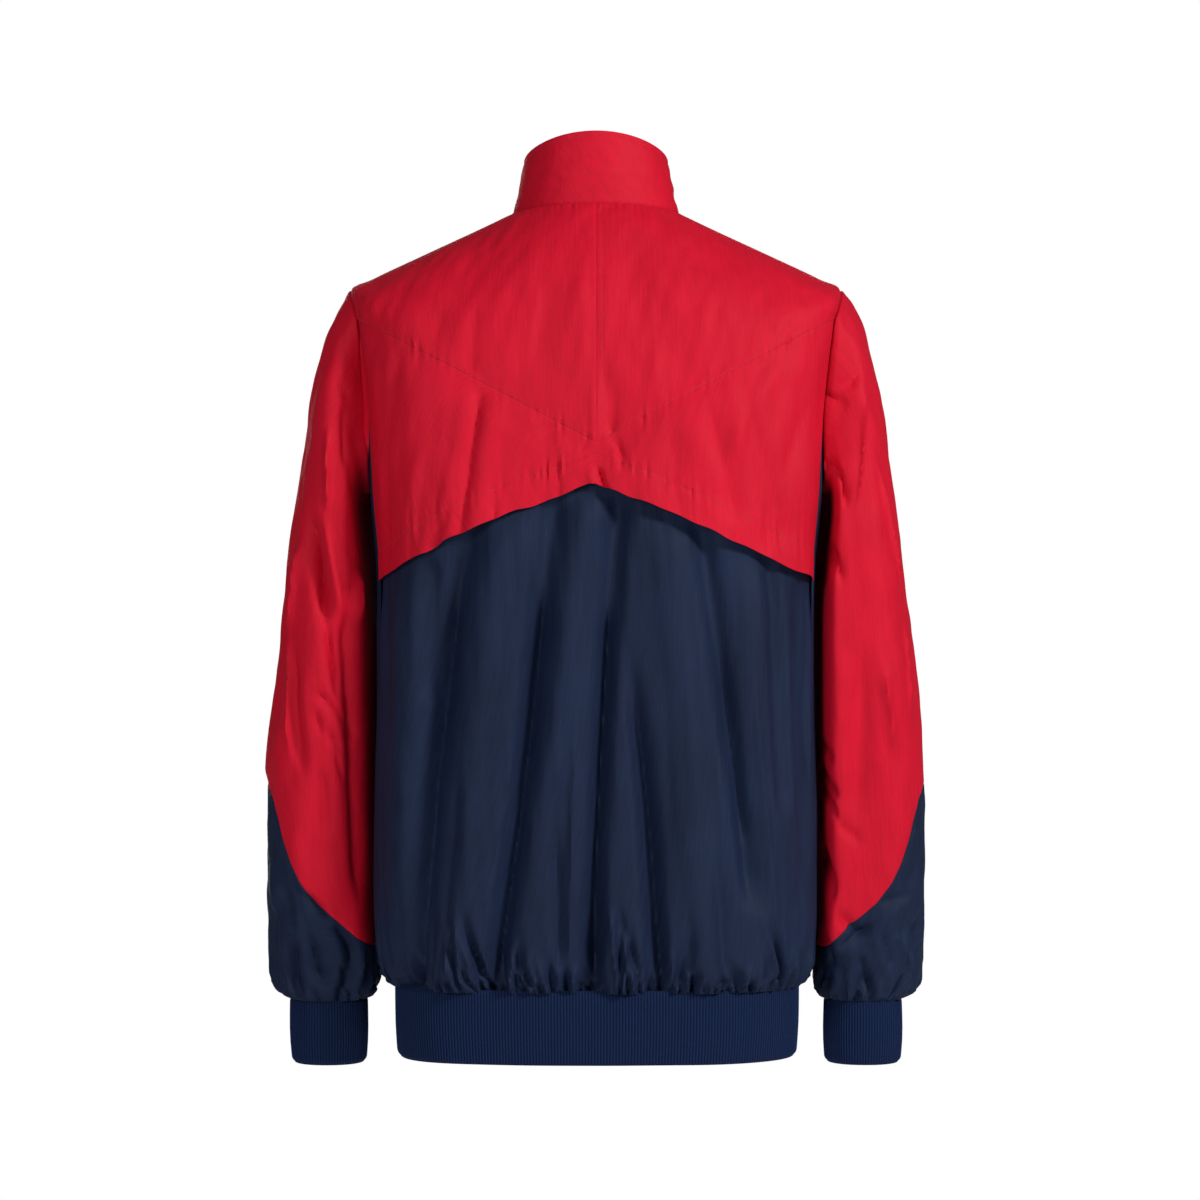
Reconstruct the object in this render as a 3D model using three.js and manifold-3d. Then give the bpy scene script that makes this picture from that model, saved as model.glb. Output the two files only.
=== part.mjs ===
// Zip-up windbreaker jacket, filled out as if worn, in millimetres.
// The front faces -Y, +X is the wearer's left, +Z is up, and the origin is the middle of the neck
// at the height of its sides. Angles run round the body from the centre back (0 degrees) over the
// wearer's left side (90) to the centre front (180); the right side has negative angles.
import * as THREE from 'three';
import { mergeVertices } from 'three/addons/utils/BufferGeometryUtils.js';
import Module from 'manifold-3d';

const wasm = await Module();
wasm.setup();

// Cloth thicknesses and the clearance along each side of a seam
const SHELL = 1.2;
const COLLAR_CLOTH = 2.0;
const RIB_KNIT = 2.2;
const HALF_SEAM = 0.16;

// Driving places on the body, in levels of the table below and in degrees
const HEM_LEVEL = 13;
const ARMHOLE_MIDDLE = 90.75;
const ARMHOLE_REACH = 26.25;
const ARMHOLE_LEVELS = { top: 4.0, topEnd: 4.45, bottomStart: 5.9, bottom: 7.0 };
const SIDE_SEAM = ARMHOLE_MIDDLE - ARMHOLE_REACH;
const ARMHOLE_FRONT = ARMHOLE_MIDDLE + ARMHOLE_REACH;
const BACK_SEAM_POINT_Z = -202.6;
const FRONT_SEAM_Z = -150;
const ZIP_HALF_WIDTH = 7;
const HALF_TURN = 180;

// Shares of a fold's length over which it rises from the cloth and sinks back
const FOLD_FADE = 0.3;
const FOLD_SHORT_FADE = 0.12;

// Rings of the body from the neck seam down to the gathered hem of the shell
const BODY_RINGS = table(
  ['halfWidth', 'back', 'front', 'zBack', 'zSide', 'zFront', 'squareness'],
  [
    [72, 66, -85, 1.5, -2, -42, 2.0],
    [105, 84, -97, -22, -17.3, -60, 2.1],
    [150, 102, -110, -52, -38, -84, 2.4],
    [190, 115, -120, -84, -56.6, -106, 2.8],
    [209, 122, -127, -112, -67, -126, 3.1],
    [203, 126.5, -133, -145, -112, -152, 3.3],
    [197, 130, -138, -182, -172, -186, 3.3],
    [193, 130.5, -140, -240, -240, -240, 3.3],
    [187.5, 129.5, -139, -320, -320, -320, 3.2],
    [187.5, 127, -136.5, -420, -420, -420, 3.2],
    [189, 125, -134, -520, -520, -520, 3.2],
    [188.5, 123.5, -132, -600, -600, -600, 3.2],
    [184, 120.5, -128, -640, -640, -640, 3.2],
    [174, 115, -121.5, -660, -660, -660, 3.2],
  ],
);

// Rings of the stand collar from its rim down to the neck seam
const COLLAR_RINGS = table(
  ['halfWidth', 'back', 'front', 'zBack', 'zSide', 'zFront', 'squareness'],
  [
    [61.5, 59, -62, 63.5, 46, 20, 2.0],
    [65.5, 62.5, -73, 33, 24, -10, 2.0],
    [71.3, 65.5, -84.4, 2.3, -1.2, -41.2, 2.0],
  ],
);

// Rings of the knitted hem band
const HEM_RINGS = table(
  ['halfWidth', 'back', 'front', 'zBack', 'zSide', 'zFront', 'squareness'],
  [
    [173, 114.4, -120.8, -660.4, -660.4, -660.4, 3.2],
    [172.5, 113.6, -120, -690, -690, -690, 3.2],
    [170.5, 112, -118, -720, -720, -720, 3.2],
  ],
);

// Rings of a sleeve from the armhole to the cuff: the outer and the inner line, seen from behind
const SLEEVE_RINGS = table(
  ['outerX', 'outerZ', 'innerX', 'innerZ', 'front', 'back', 'squareness'],
  [
    [209, -67, 193, -239.7, -70, 62, 2.6],
    [217, -77, 197.3, -241.5, -73, 65, 2.5],
    [226, -93, 199, -245, -76, 68, 2.4],
    [236.5, -126, 200, -253, -79, 70, 2.4],
    [244.5, -161, 199.5, -266, -81, 71, 2.4],
    [250, -200, 197.5, -284, -82, 71, 2.4],
    [256.5, -247, 195, -308, -83, 70, 2.4],
    [267, -333, 192, -360, -82, 67, 2.3],
    [278, -419, 192, -425, -80, 60, 2.3],
    [283, -505, 193, -505, -76, 50, 2.2],
    [283.5, -575, 193, -575, -71, 41, 2.2],
    [282.5, -625, 191.5, -625, -67, 35, 2.2],
    [279.5, -655, 190, -653, -64, 31, 2.2],
    [272.5, -670.5, 192.5, -668.5, -61, 27, 2.2],
    [264.3, -676, 196.7, -676, -57.3, 22.3, 2.2],
  ],
);
const SLEEVE_END = 14;
const SLEEVE_BLEND_END = 3;

// Rings of a knitted cuff
const CUFF_RINGS = table(
  ['outerX', 'outerZ', 'innerX', 'innerZ', 'front', 'back', 'squareness'],
  [
    [264, -676.4, 197, -676.4, -57, 22, 2.2],
    [264.4, -704, 196.6, -704, -57.4, 22.4, 2.2],
    [262.6, -731, 198, -731, -55.8, 20.8, 2.2],
  ],
);

// Height of the red and navy seam round a sleeve, by the share of the way in (-1) or out (1)
const SLEEVE_SEAM = table(
  ['share', 'z'],
  [
    [-1, -630],
    [-0.44, -608],
    [0, -591],
    [0.29, -574],
    [0.5, -556],
    [0.64, -539],
    [0.86, -505],
    [1, -490],
  ],
);

// Free edge of the back cape: its height, and how far it stands off the panel below
const CAPE_EDGE = table(
  ['x', 'z', 'standOff'],
  [
    [-195, -324, 0.8],
    [-171, -311, 3],
    [-149, -302, 6],
    [-116, -285, 8],
    [-83, -270, 9],
    [-36, -249.5, 7],
    [0, -237.5, 4.5],
    [32, -248, 3.5],
    [85, -266.5, 4],
    [125, -284, 5],
    [138, -293, 4.5],
    [176, -312, 2],
    [195, -324, 0.8],
  ],
);

// Large soft folds of the cloth, seen from behind or in front; a negative depth is a valley
const FOLD_COLUMNS = ['startX', 'startZ', 'endX', 'endZ', 'bow', 'halfWidth', 'depth'];
const BACK_FOLDS = table(FOLD_COLUMNS, [
  [112, -300, 156, -690, 9, 17, -8],
  [36, -300, 94, -690, -5, 14, -6],
  [-20, -300, 6, -690, 4, 12, -5],
  [-24, -370, -50, -690, -5, 11, -4],
  [-90, -300, -132, -560, 0, 12, -4],
  [-150, -300, -158, -470, 0, 10, -3],
  [78, -380, 122, -680, 3, 14, 2.5],
  [-72, -380, -92, -680, 0, 14, 2.5],
]);
const CAPE_FOLDS = table(FOLD_COLUMNS, [
  [94, -140, 112, -285, 0, 11, -3],
  [-178, -120, -118, -300, 10, 15, -2.5],
  [-60, -170, -66, -290, 0, 14, -2],
]);
const FRONT_FOLDS = table(FOLD_COLUMNS, [
  [150, -270, 128, -560, -6, 15, -5],
  [92, -320, 84, -690, 6, 15, -5],
  [44, -420, 52, -690, -3, 12, -4],
  [-158, -270, -120, -600, 7, 15, -6],
  [-78, -340, -92, -690, -5, 14, -5],
  [-38, -450, -44, -690, 2, 12, -3.5],
]);
const SLEEVE_FOLD_COLUMNS = ['side', 'angle', 'drift', 'startZ', 'endZ', 'halfAngle', 'depth'];
const SLEEVE_FOLDS = table(SLEEVE_FOLD_COLUMNS, [
  [1, 62, 30, -150, -440, 14, -3.5],
  [1, 120, -18, -210, -480, 14, -3],
  [1, -70, 24, -300, -600, 16, -4],
  [1, 40, 30, -420, -640, 13, -3],
  [-1, 70, -24, -150, -420, 14, -3],
  [-1, 105, 22, -330, -600, 15, -3.5],
  [-1, -60, -26, -260, -560, 16, -4],
  [-1, 35, 16, -380, -640, 12, -2.5],
]);

// Gathers above the bands and the ribs of the knit
const GATHER_DEPTH = 1.7;
const HEM_RIBS = 126;
const CUFF_RIBS = 32;
const RIB_HEIGHT = 0.5;

// Zip chain, slider and pull tab, measured along the collar front
const CHAIN_HALF_WIDTH = 2.6;
const CHAIN_HEIGHT = 1.1;
const TAPE_DEPTH = 0.3;
const TAPE_CLOTH = 1.2;
const SLIDER = { width: 10, length: 14, plate: 2.2, below: 11.5 };
const EAR = { inside: 2.6, thick: 1.3, length: 4.4, height: 4.6 };
const PIN = { radius: 0.8, height: 2.9, above: 2.5 };
const TAB = { neck: 4.4, width: 7, thick: 1.5, length: 30, eye: 2.3, neckLength: 9 };
// Overlap of blocks that are joined into one solid
const JOIN = 0.1;
const RUNNING_GAP = 0.35;

const RED = new THREE.Color('#c41630');
const NAVY = new THREE.Color('#222a44');
const RIB_NAVY = new THREE.Color('#172340');
const METAL = new THREE.Color('#3a4254');

function table(names, rows) {
  return rows.map((row) => Object.fromEntries(names.map((name, index) => [name, row[index]])));
}

const clamp = THREE.MathUtils.clamp;
const mix = THREE.MathUtils.lerp;
const radians = THREE.MathUtils.degToRad;
const easeIn = (start, end, value) => THREE.MathUtils.smoothstep(value, start, end);

// Smooth curve through the rows of a table that never swings past them
function blendRows(rows, name, place) {
  const last = rows.length - 1;
  const row = Math.min(Math.floor(clamp(place, 0, last)), last - 1);
  const part = clamp(place, 0, last) - row;
  const value = (index) => rows[clamp(index, 0, last)][name];
  const step = (index) => value(index + 1) - value(index);
  const slope = (index) => {
    if (index === 0) return step(0);
    if (index === last) return step(last - 1);
    const product = step(index - 1) * step(index);
    return product > 0 ? (2 * product) / (step(index - 1) + step(index)) : 0;
  };
  const square = part * part;
  const cube = square * part;
  return (
    value(row) * (2 * cube - 3 * square + 1) + slope(row) * (cube - 2 * square + part)
    + value(row + 1) * (3 * square - 2 * cube) + slope(row + 1) * (cube - square)
  );
}

function ringAt(rows, place) {
  return Object.fromEntries(Object.keys(rows[0]).map((name) => [name, blendRows(rows, name, place)]));
}

// Value of a named column where another named column, which only rises, has a given value
function lookUp(rows, key, name, wanted) {
  const next = clamp(rows.findIndex((row) => row[key] >= wanted), 1, rows.length - 1);
  const after = wanted > rows.at(-1)[key] ? rows.length - 1 : next;
  const part = clamp((wanted - rows[after - 1][key]) / (rows[after][key] - rows[after - 1][key]), 0, 1);
  return mix(rows[after - 1][name], rows[after][name], part);
}

// Share of the way out to a ring of the given squareness, in the direction of an angle
function ringReach(sine, cosine, squareness) {
  return (Math.abs(sine) ** squareness + Math.abs(cosine) ** squareness) ** (-1 / squareness);
}

const SHOULDER_ARCH = 1.5;

function torsoPoint(rows, angle, level) {
  const ring = ringAt(rows, level);
  const sine = Math.sin(radians(angle));
  const cosine = Math.cos(radians(angle));
  const reach = ringReach(sine, cosine, ring.squareness);
  const share = reach * Math.abs(cosine);
  const [depth, height] = cosine >= 0 ? [ring.back, ring.zBack] : [ring.front, ring.zFront];
  return new THREE.Vector3(
    ring.halfWidth * reach * sine,
    depth * share,
    ring.zSide + (height - ring.zSide) * share ** SHOULDER_ARCH,
  );
}

const SMALL_ANGLE = 0.5;
const SMALL_LEVEL = 0.02;

function torsoNormal(rows, angle, level) {
  const last = rows.length - 1;
  const round = torsoPoint(rows, angle + SMALL_ANGLE, level)
    .sub(torsoPoint(rows, angle - SMALL_ANGLE, level));
  const down = torsoPoint(rows, angle, Math.min(level + SMALL_LEVEL, last))
    .sub(torsoPoint(rows, angle, Math.max(level - SMALL_LEVEL, 0)));
  return round.cross(down).normalize();
}

function torsoLifted(rows, angle, level, lift) {
  return torsoPoint(rows, angle, level).addScaledVector(torsoNormal(rows, angle, level), lift);
}

// Depth of all the soft folds of a table at a place seen from behind
function foldDepth(folds, x, z) {
  return folds.reduce((sum, fold) => {
    const length = Math.hypot(fold.endX - fold.startX, fold.endZ - fold.startZ);
    const alongX = (fold.endX - fold.startX) / length;
    const alongZ = (fold.endZ - fold.startZ) / length;
    const along = ((x - fold.startX) * alongX + (z - fold.startZ) * alongZ) / length;
    if (along <= 0 || along >= 1) return sum;
    const across = (fold.startX - x) * alongZ + (z - fold.startZ) * alongX;
    const offset = (across - fold.bow * 4 * along * (1 - along)) / fold.halfWidth;
    const ends = easeIn(0, FOLD_FADE, along) * easeIn(0, FOLD_SHORT_FADE, 1 - along);
    return sum + fold.depth * ends * Math.exp(-offset * offset);
  }, 0);
}

// Closed wall between an outer and an inner skin, each placed by a share across and a share down
function wall({ rows, columns, innerColumns = columns, closed = false, outer, inner }) {
  const positions = [];
  const triangles = [];
  const addSkin = (count, place) => {
    const across = closed ? count : count + 1;
    const start = positions.length / 3;
    for (let row = 0; row <= rows; row += 1) {
      for (let column = 0; column < across; column += 1) {
        positions.push(...place(column, row).toArray());
      }
    }
    return (column, row) => start + row * across + (closed ? column % count : column);
  };
  const outerId = addSkin(columns, outer);
  const innerId = addSkin(innerColumns, inner);
  const add = (flip, a, b, c) => triangles.push(...(flip ? [a, c, b] : [a, b, c]));
  const corner = (id) => new THREE.Vector3().fromArray(positions, id * 3);
  const span = (a, b) => corner(a).distanceTo(corner(b));
  // Each cell is split along the shorter diagonal of its outer face, on both skins alike
  const addFaces = (count, id, guide, flip) => {
    for (let row = 0; row < rows; row += 1) {
      for (let column = 0; column < count; column += 1) {
        const [a, b, c, d] = [[0, 0], [0, 1], [1, 0], [1, 1]].map(([right, down]) => (
          id(column + right, row + down)
        ));
        const falls = span(guide(column, row), guide(column + 1, row + 1));
        if (falls < span(guide(column, row + 1), guide(column + 1, row))) {
          add(flip, a, b, d);
          add(flip, a, d, c);
        } else {
          add(flip, a, b, c);
          add(flip, c, b, d);
        }
      }
    }
  };
  const addRim = (row, flip) => {
    let out = 0;
    let into = 0;
    while (out < columns || into < innerColumns) {
      if (into === innerColumns || (out < columns && (out + 1) * innerColumns <= (into + 1) * columns)) {
        add(flip, outerId(out, row), outerId(out + 1, row), innerId(into, row));
        out += 1;
      } else {
        add(flip, outerId(out, row), innerId(into + 1, row), innerId(into, row));
        into += 1;
      }
    }
  };
  const addEnd = (column, innerColumn, flip) => {
    for (let row = 0; row < rows; row += 1) {
      add(flip, outerId(column, row + 1), outerId(column, row), innerId(innerColumn, row));
      add(flip, outerId(column, row + 1), innerId(innerColumn, row), innerId(innerColumn, row + 1));
    }
  };
  addFaces(columns, outerId, outerId, false);
  addFaces(innerColumns, innerId, innerColumns === columns ? outerId : innerId, true);
  addRim(0, false);
  addRim(rows, true);
  if (!closed) {
    addEnd(0, 0, false);
    addEnd(columns, innerColumns, true);
  }
  return orientedGeometry(positions, triangles);
}

// Indexed geometry with its faces turned outwards
function orientedGeometry(positions, triangles) {
  const corner = (index) => new THREE.Vector3().fromArray(positions, triangles[index] * 3);
  let volume = 0;
  for (let index = 0; index < triangles.length; index += 3) {
    volume += corner(index).dot(corner(index + 1).cross(corner(index + 2)));
  }
  if (volume < 0) {
    for (let index = 0; index < triangles.length; index += 3) {
      [triangles[index], triangles[index + 1]] = [triangles[index + 1], triangles[index]];
    }
  }
  const geometry = new THREE.BufferGeometry();
  geometry.setAttribute('position', new THREE.Float32BufferAttribute(positions, 3));
  geometry.setIndex(triangles);
  geometry.computeVertexNormals();
  return geometry;
}

const jacket = new THREE.Group();
jacket.name = 'windbreaker_jacket';

function addPiece(name, geometry, colour, roughness = 0.75, metalness = 0) {
  const material = new THREE.MeshStandardMaterial({ color: colour, roughness, metalness });
  const piece = new THREE.Mesh(geometry, material);
  piece.name = name;
  jacket.add(piece);
}

// Armhole: its edge is a top arc, a straight front, a bottom arc and a straight back
const ARC_STEPS = 10;
const STRAIGHT_STEPS = 3;
const ARMHOLE_STEPS = 2 * (ARC_STEPS + STRAIGHT_STEPS);
const SHOULDER_SEAM_STEP = 8;

function armholeEdge(step) {
  const place = step % ARMHOLE_STEPS;
  const levels = ARMHOLE_LEVELS;
  const frontEnd = ARC_STEPS + STRAIGHT_STEPS;
  if (place <= ARC_STEPS) {
    const turn = (Math.PI * place) / ARC_STEPS;
    const level = mix(levels.topEnd, levels.top, Math.sin(turn));
    return { angle: ARMHOLE_MIDDLE - ARMHOLE_REACH * Math.cos(turn), level };
  }
  if (place <= frontEnd) {
    const part = (place - ARC_STEPS) / STRAIGHT_STEPS;
    return { angle: ARMHOLE_FRONT, level: mix(levels.topEnd, levels.bottomStart, part) };
  }
  if (place <= frontEnd + ARC_STEPS) {
    const turn = (Math.PI * (place - frontEnd)) / ARC_STEPS;
    const level = mix(levels.bottomStart, levels.bottom, Math.sin(turn));
    return { angle: ARMHOLE_MIDDLE + ARMHOLE_REACH * Math.cos(turn), level };
  }
  const part = (place - frontEnd - ARC_STEPS) / STRAIGHT_STEPS;
  return { angle: SIDE_SEAM, level: mix(levels.bottomStart, levels.topEnd, part) };
}

// Level at which a column of the body meets a condition that rises with the level
function levelWhere(rows, angle, isBelow) {
  let above = 0;
  let below = rows.length - 1;
  for (let step = 0; step < 40; step += 1) {
    const middle = (above + below) / 2;
    if (isBelow(torsoPoint(rows, angle, middle))) below = middle;
    else above = middle;
  }
  return (above + below) / 2;
}

const seamEnd = torsoPoint(BODY_RINGS, SIDE_SEAM, ARMHOLE_LEVELS.topEnd);

// The pointed seam of the back yoke, straight from the centre back up to each armhole
function yokeSeamLevel(angle) {
  const isBelow = (point) => point.z < mix(BACK_SEAM_POINT_Z, seamEnd.z, Math.abs(point.x) / seamEnd.x);
  return levelWhere(BODY_RINGS, angle, isBelow);
}

function capeEdgeLevel(angle) {
  const isBelow = (point) => point.z < lookUp(CAPE_EDGE, 'x', 'z', point.x);
  return levelWhere(BODY_RINGS, angle, isBelow);
}

// The plain seam of the front yokes, straight from each armhole down to the zip
function frontSeamLevel(angle) {
  const start = torsoPoint(BODY_RINGS, ARMHOLE_FRONT, ARMHOLE_LEVELS.topEnd);
  const isBelow = (point) => point.z < mix(FRONT_SEAM_Z, start.z, Math.abs(point.x) / Math.abs(start.x));
  return levelWhere(BODY_RINGS, angle, isBelow);
}

// Turns a front angle back from the zip, so that a front edge lies beside its tape
function besideZip(rows, angle, level) {
  const size = Math.abs(angle);
  if (size <= ARMHOLE_FRONT) return angle;
  const edge = ZIP_HALF_WIDTH + 2 * HALF_SEAM;
  const turned = THREE.MathUtils.radToDeg(Math.asin(edge / ringAt(rows, level).halfWidth));
  const share = (size - ARMHOLE_FRONT) / (HALF_TURN - ARMHOLE_FRONT);
  return Math.sign(angle) * (size - share * turned);
}

// How far a small change of level or angle moves a point of the body
function millimetresPerLevel(angle, level) {
  const step = level > HEM_LEVEL - 1 ? -SMALL_LEVEL : SMALL_LEVEL;
  const here = torsoPoint(BODY_RINGS, angle, level);
  return here.distanceTo(torsoPoint(BODY_RINGS, angle, level + step)) / SMALL_LEVEL;
}

function millimetresPerDegree(angle, level) {
  const here = torsoPoint(BODY_RINGS, angle, level);
  return here.distanceTo(torsoPoint(BODY_RINGS, angle + SMALL_ANGLE, level)) / SMALL_ANGLE;
}

// Body panel: each column runs from a top place to a bottom place and is shortened for its seams.
// The lift says how far the outer skin stands off the ring surface.
function bodyPanel({ rows: rowCount, columns, thickness, lift, side = 1, openEnds = [true, true] }) {
  const last = columns.length - 1;
  const place = (column, row) => {
    const { top, bottom } = columns[column];
    const topLevel = top.level + HALF_SEAM / millimetresPerLevel(top.angle, top.level);
    const bottomLevel = bottom.level - HALF_SEAM / millimetresPerLevel(bottom.angle, bottom.level);
    const share = row / rowCount;
    const level = mix(topLevel, bottomLevel, share);
    let angle = besideZip(BODY_RINGS, mix(top.angle, bottom.angle, share), level);
    const inset = HALF_SEAM / millimetresPerDegree(angle, level);
    if (column === 0 && openEnds[0]) angle += inset;
    if (column === last && openEnds[1]) angle -= inset;
    return { angle: side * angle, level, share };
  };
  const skin = (depth) => (column, row) => {
    const at = place(column, row);
    return torsoLifted(BODY_RINGS, at.angle, at.level, lift(at, column) - depth);
  };
  return wall({ rows: rowCount, columns: last, outer: skin(0), inner: skin(thickness) });
}

const SIDES = { left: 1, right: -1 };
const YOKE_COLUMNS = 14;
const YOKE_ROWS = 7;

function backYoke(side) {
  const columns = [];
  for (let step = 0; step < YOKE_COLUMNS; step += 1) {
    const angle = (SIDE_SEAM * step) / YOKE_COLUMNS;
    columns.push({ top: { angle, level: 0 }, bottom: { angle, level: yokeSeamLevel(angle) } });
  }
  for (let step = 0; step <= SHOULDER_SEAM_STEP; step += 1) {
    const edge = armholeEdge(step);
    columns.push({ top: { angle: edge.angle, level: 0 }, bottom: edge });
  }
  return bodyPanel({ rows: YOKE_ROWS, columns, thickness: SHELL, side, lift: () => 0 });
}

const FRONT_YOKE_COLUMNS = 9;
const FRONT_YOKE_ROWS = 6;

function frontYoke(side) {
  const columns = [];
  for (let step = SHOULDER_SEAM_STEP; step < ARC_STEPS; step += 1) {
    const edge = armholeEdge(step);
    columns.push({ top: { angle: edge.angle, level: 0 }, bottom: edge });
  }
  for (let step = 0; step <= FRONT_YOKE_COLUMNS; step += 1) {
    const angle = mix(ARMHOLE_FRONT, HALF_TURN, step / FRONT_YOKE_COLUMNS);
    columns.push({ top: { angle, level: 0 }, bottom: { angle, level: frontSeamLevel(angle) } });
  }
  return bodyPanel({
    rows: FRONT_YOKE_ROWS, columns, thickness: SHELL, side, lift: () => 0, openEnds: [true, false],
  });
}

const BACK_COLUMNS = 44;
const BACK_ROWS = 11;
const CAPE_ROWS = 5;
const CAPE_ROOM = 2.3;
const CAPE_CALM_ANGLE = 12;
const CAPE_CALM_SHARE = 0.6;
const CAPE_LIFT_CURVE = 1.2;

// Levels from the cape's edge between which the panel comes forward, and its folds begin
const CAPE_CLEAR_LEVELS = { start: 0.02, end: 0.5 };
const PANEL_FOLD_LEVELS = { start: -0.4, end: 0.3 };
const backAngle = (step) => mix(-SIDE_SEAM, SIDE_SEAM, step / BACK_COLUMNS);

// Gathers start some levels above the hem, and are a valley on every second column, unevenly deep
const GATHER_LEVELS = { start: 2, full: 0.6 };
const GATHER_WAVE = { valley: -1, ridge: 0.6, mean: 0.7, change: 0.3, turn: 1.9 };
const BACK_GATHER_SEED = 0.4;
const gatherShare = (level) => easeIn(HEM_LEVEL - GATHER_LEVELS.start, HEM_LEVEL - GATHER_LEVELS.full, level);
const gatherWave = (column, seed) => (
  (column % 2 ? GATHER_WAVE.valley : GATHER_WAVE.ridge)
  * (GATHER_WAVE.mean + GATHER_WAVE.change * Math.sin(column * GATHER_WAVE.turn + seed))
);

function backPanel() {
  const columns = [];
  for (let step = 0; step <= BACK_COLUMNS; step += 1) {
    const angle = backAngle(step);
    const top = { angle, level: yokeSeamLevel(angle) };
    columns.push({ top, bottom: { angle, level: HEM_LEVEL }, capeLevel: capeEdgeLevel(angle) });
  }
  const lift = (at, column) => {
    const point = torsoPoint(BODY_RINGS, at.angle, at.level);
    const { capeLevel } = columns[column];
    const below = at.level - capeLevel;
    const under = CAPE_ROOM * (1 - easeIn(CAPE_CLEAR_LEVELS.start, CAPE_CLEAR_LEVELS.end, below));
    const showing = easeIn(PANEL_FOLD_LEVELS.start, PANEL_FOLD_LEVELS.end, below);
    const folds = foldDepth(BACK_FOLDS, point.x, point.z) * showing;
    const gathers = GATHER_DEPTH * gatherShare(at.level) * gatherWave(column, BACK_GATHER_SEED);
    return folds + gathers - under;
  };
  return bodyPanel({ rows: BACK_ROWS, columns, thickness: SHELL, lift });
}

function backCape() {
  const columns = [];
  for (let step = 0; step <= BACK_COLUMNS; step += 1) {
    const angle = backAngle(step);
    const top = { angle, level: yokeSeamLevel(angle) };
    columns.push({ top, bottom: { angle, level: capeEdgeLevel(angle) } });
  }
  const lift = (at) => {
    const point = torsoPoint(BODY_RINGS, at.angle, at.level);
    const standOff = lookUp(CAPE_EDGE, 'x', 'standOff', point.x) * at.share ** CAPE_LIFT_CURVE;
    const room = easeIn(0, CAPE_CALM_SHARE, at.share)
      * easeIn(0, CAPE_CALM_ANGLE, SIDE_SEAM - Math.abs(at.angle));
    return standOff + foldDepth(CAPE_FOLDS, point.x, point.z) * room;
  };
  return bodyPanel({ rows: CAPE_ROWS, columns, thickness: SHELL, lift });
}

const FRONT_ROWS = 9;
const FRONT_CALM_WIDTH = 20;
const FRONT_CALM_SHARE = 0.55;
const FRONT_CENTRE_COLUMNS = 11;

function frontPanel(side) {
  const tops = [];
  for (let step = 0; step < ARC_STEPS + STRAIGHT_STEPS; step += 1) {
    const { angle, level } = armholeEdge(ARMHOLE_STEPS - STRAIGHT_STEPS - step);
    const away = (angle - ARMHOLE_MIDDLE) / ARMHOLE_REACH;
    const clearance = (HALF_SEAM * away) / millimetresPerDegree(angle, level);
    tops.push({ angle: step ? angle + clearance : angle, level });
  }
  for (let step = 0; step <= FRONT_CENTRE_COLUMNS; step += 1) {
    const angle = mix(ARMHOLE_FRONT, HALF_TURN, step / FRONT_CENTRE_COLUMNS);
    tops.push({ angle, level: frontSeamLevel(angle) });
  }
  const last = tops.length - 1;
  const columns = tops.map((top, index) => {
    const even = mix(SIDE_SEAM, HALF_TURN, index / last);
    return { top, bottom: { angle: even, level: HEM_LEVEL } };
  });
  const lift = (at, column) => {
    const point = torsoPoint(BODY_RINGS, at.angle, at.level);
    const clear = easeIn(0, FRONT_CALM_WIDTH, Math.abs(point.x) - ZIP_HALF_WIDTH)
      * easeIn(0, FRONT_CALM_SHARE, at.share);
    const folds = point.y < 0 ? foldDepth(FRONT_FOLDS, point.x, point.z) : 0;
    return clear * (folds + GATHER_DEPTH * gatherShare(at.level) * gatherWave(column, side));
  };
  return bodyPanel({ rows: FRONT_ROWS, columns, thickness: SHELL, side, lift, openEnds: [true, false] });
}

// Collar: one standing wall from zip to zip
const COLLAR_COLUMNS = 34;
const COLLAR_ROWS = 4;

function collar() {
  const skin = (depth) => (column, row) => {
    const level = ((COLLAR_RINGS.length - 1) * row) / COLLAR_ROWS;
    const angle = besideZip(COLLAR_RINGS, mix(-HALF_TURN, HALF_TURN, column / COLLAR_COLUMNS), level);
    return torsoLifted(COLLAR_RINGS, angle, level, -depth);
  };
  return wall({ rows: COLLAR_ROWS, columns: COLLAR_COLUMNS, outer: skin(0), inner: skin(COLLAR_CLOTH) });
}

// Hem band: ribs stand up from the outer skin over a plain inside
const BAND_ROWS = 2;
const HEM_INNER_COLUMNS = 48;

function hemBand() {
  const place = (count, lift) => (column, row) => {
    const level = ((HEM_RINGS.length - 1) * row) / BAND_ROWS;
    const angle = besideZip(HEM_RINGS, mix(-HALF_TURN, HALF_TURN, column / count), level);
    return torsoLifted(HEM_RINGS, angle, level, lift(column));
  };
  const columns = 2 * HEM_RIBS;
  const rib = (column) => (column % 2 ? 0 : -RIB_HEIGHT);
  return wall({
    rows: BAND_ROWS,
    columns,
    innerColumns: HEM_INNER_COLUMNS,
    outer: place(columns, rib),
    inner: place(HEM_INNER_COLUMNS, () => -RIB_KNIT - RIB_HEIGHT),
  });
}

// Sleeve and cuff rings: a squared oval between the outer and the inner line
function armPoint(rows, turn, place) {
  const ring = ringAt(rows, place);
  const cosine = Math.cos(turn);
  const sine = Math.sin(turn);
  const reach = ringReach(sine, cosine, ring.squareness);
  const out = (1 + reach * cosine) / 2;
  const depth = reach * sine;
  return new THREE.Vector3(
    mix(ring.innerX, ring.outerX, out),
    (ring.front + ring.back) / 2 + (depth * (ring.back - ring.front)) / 2,
    mix(ring.innerZ, ring.outerZ, out),
  );
}

// Where a step round the armhole lies on the first sleeve ring, and how far it is from that ring
const sleeveSteps = new Map();

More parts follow.
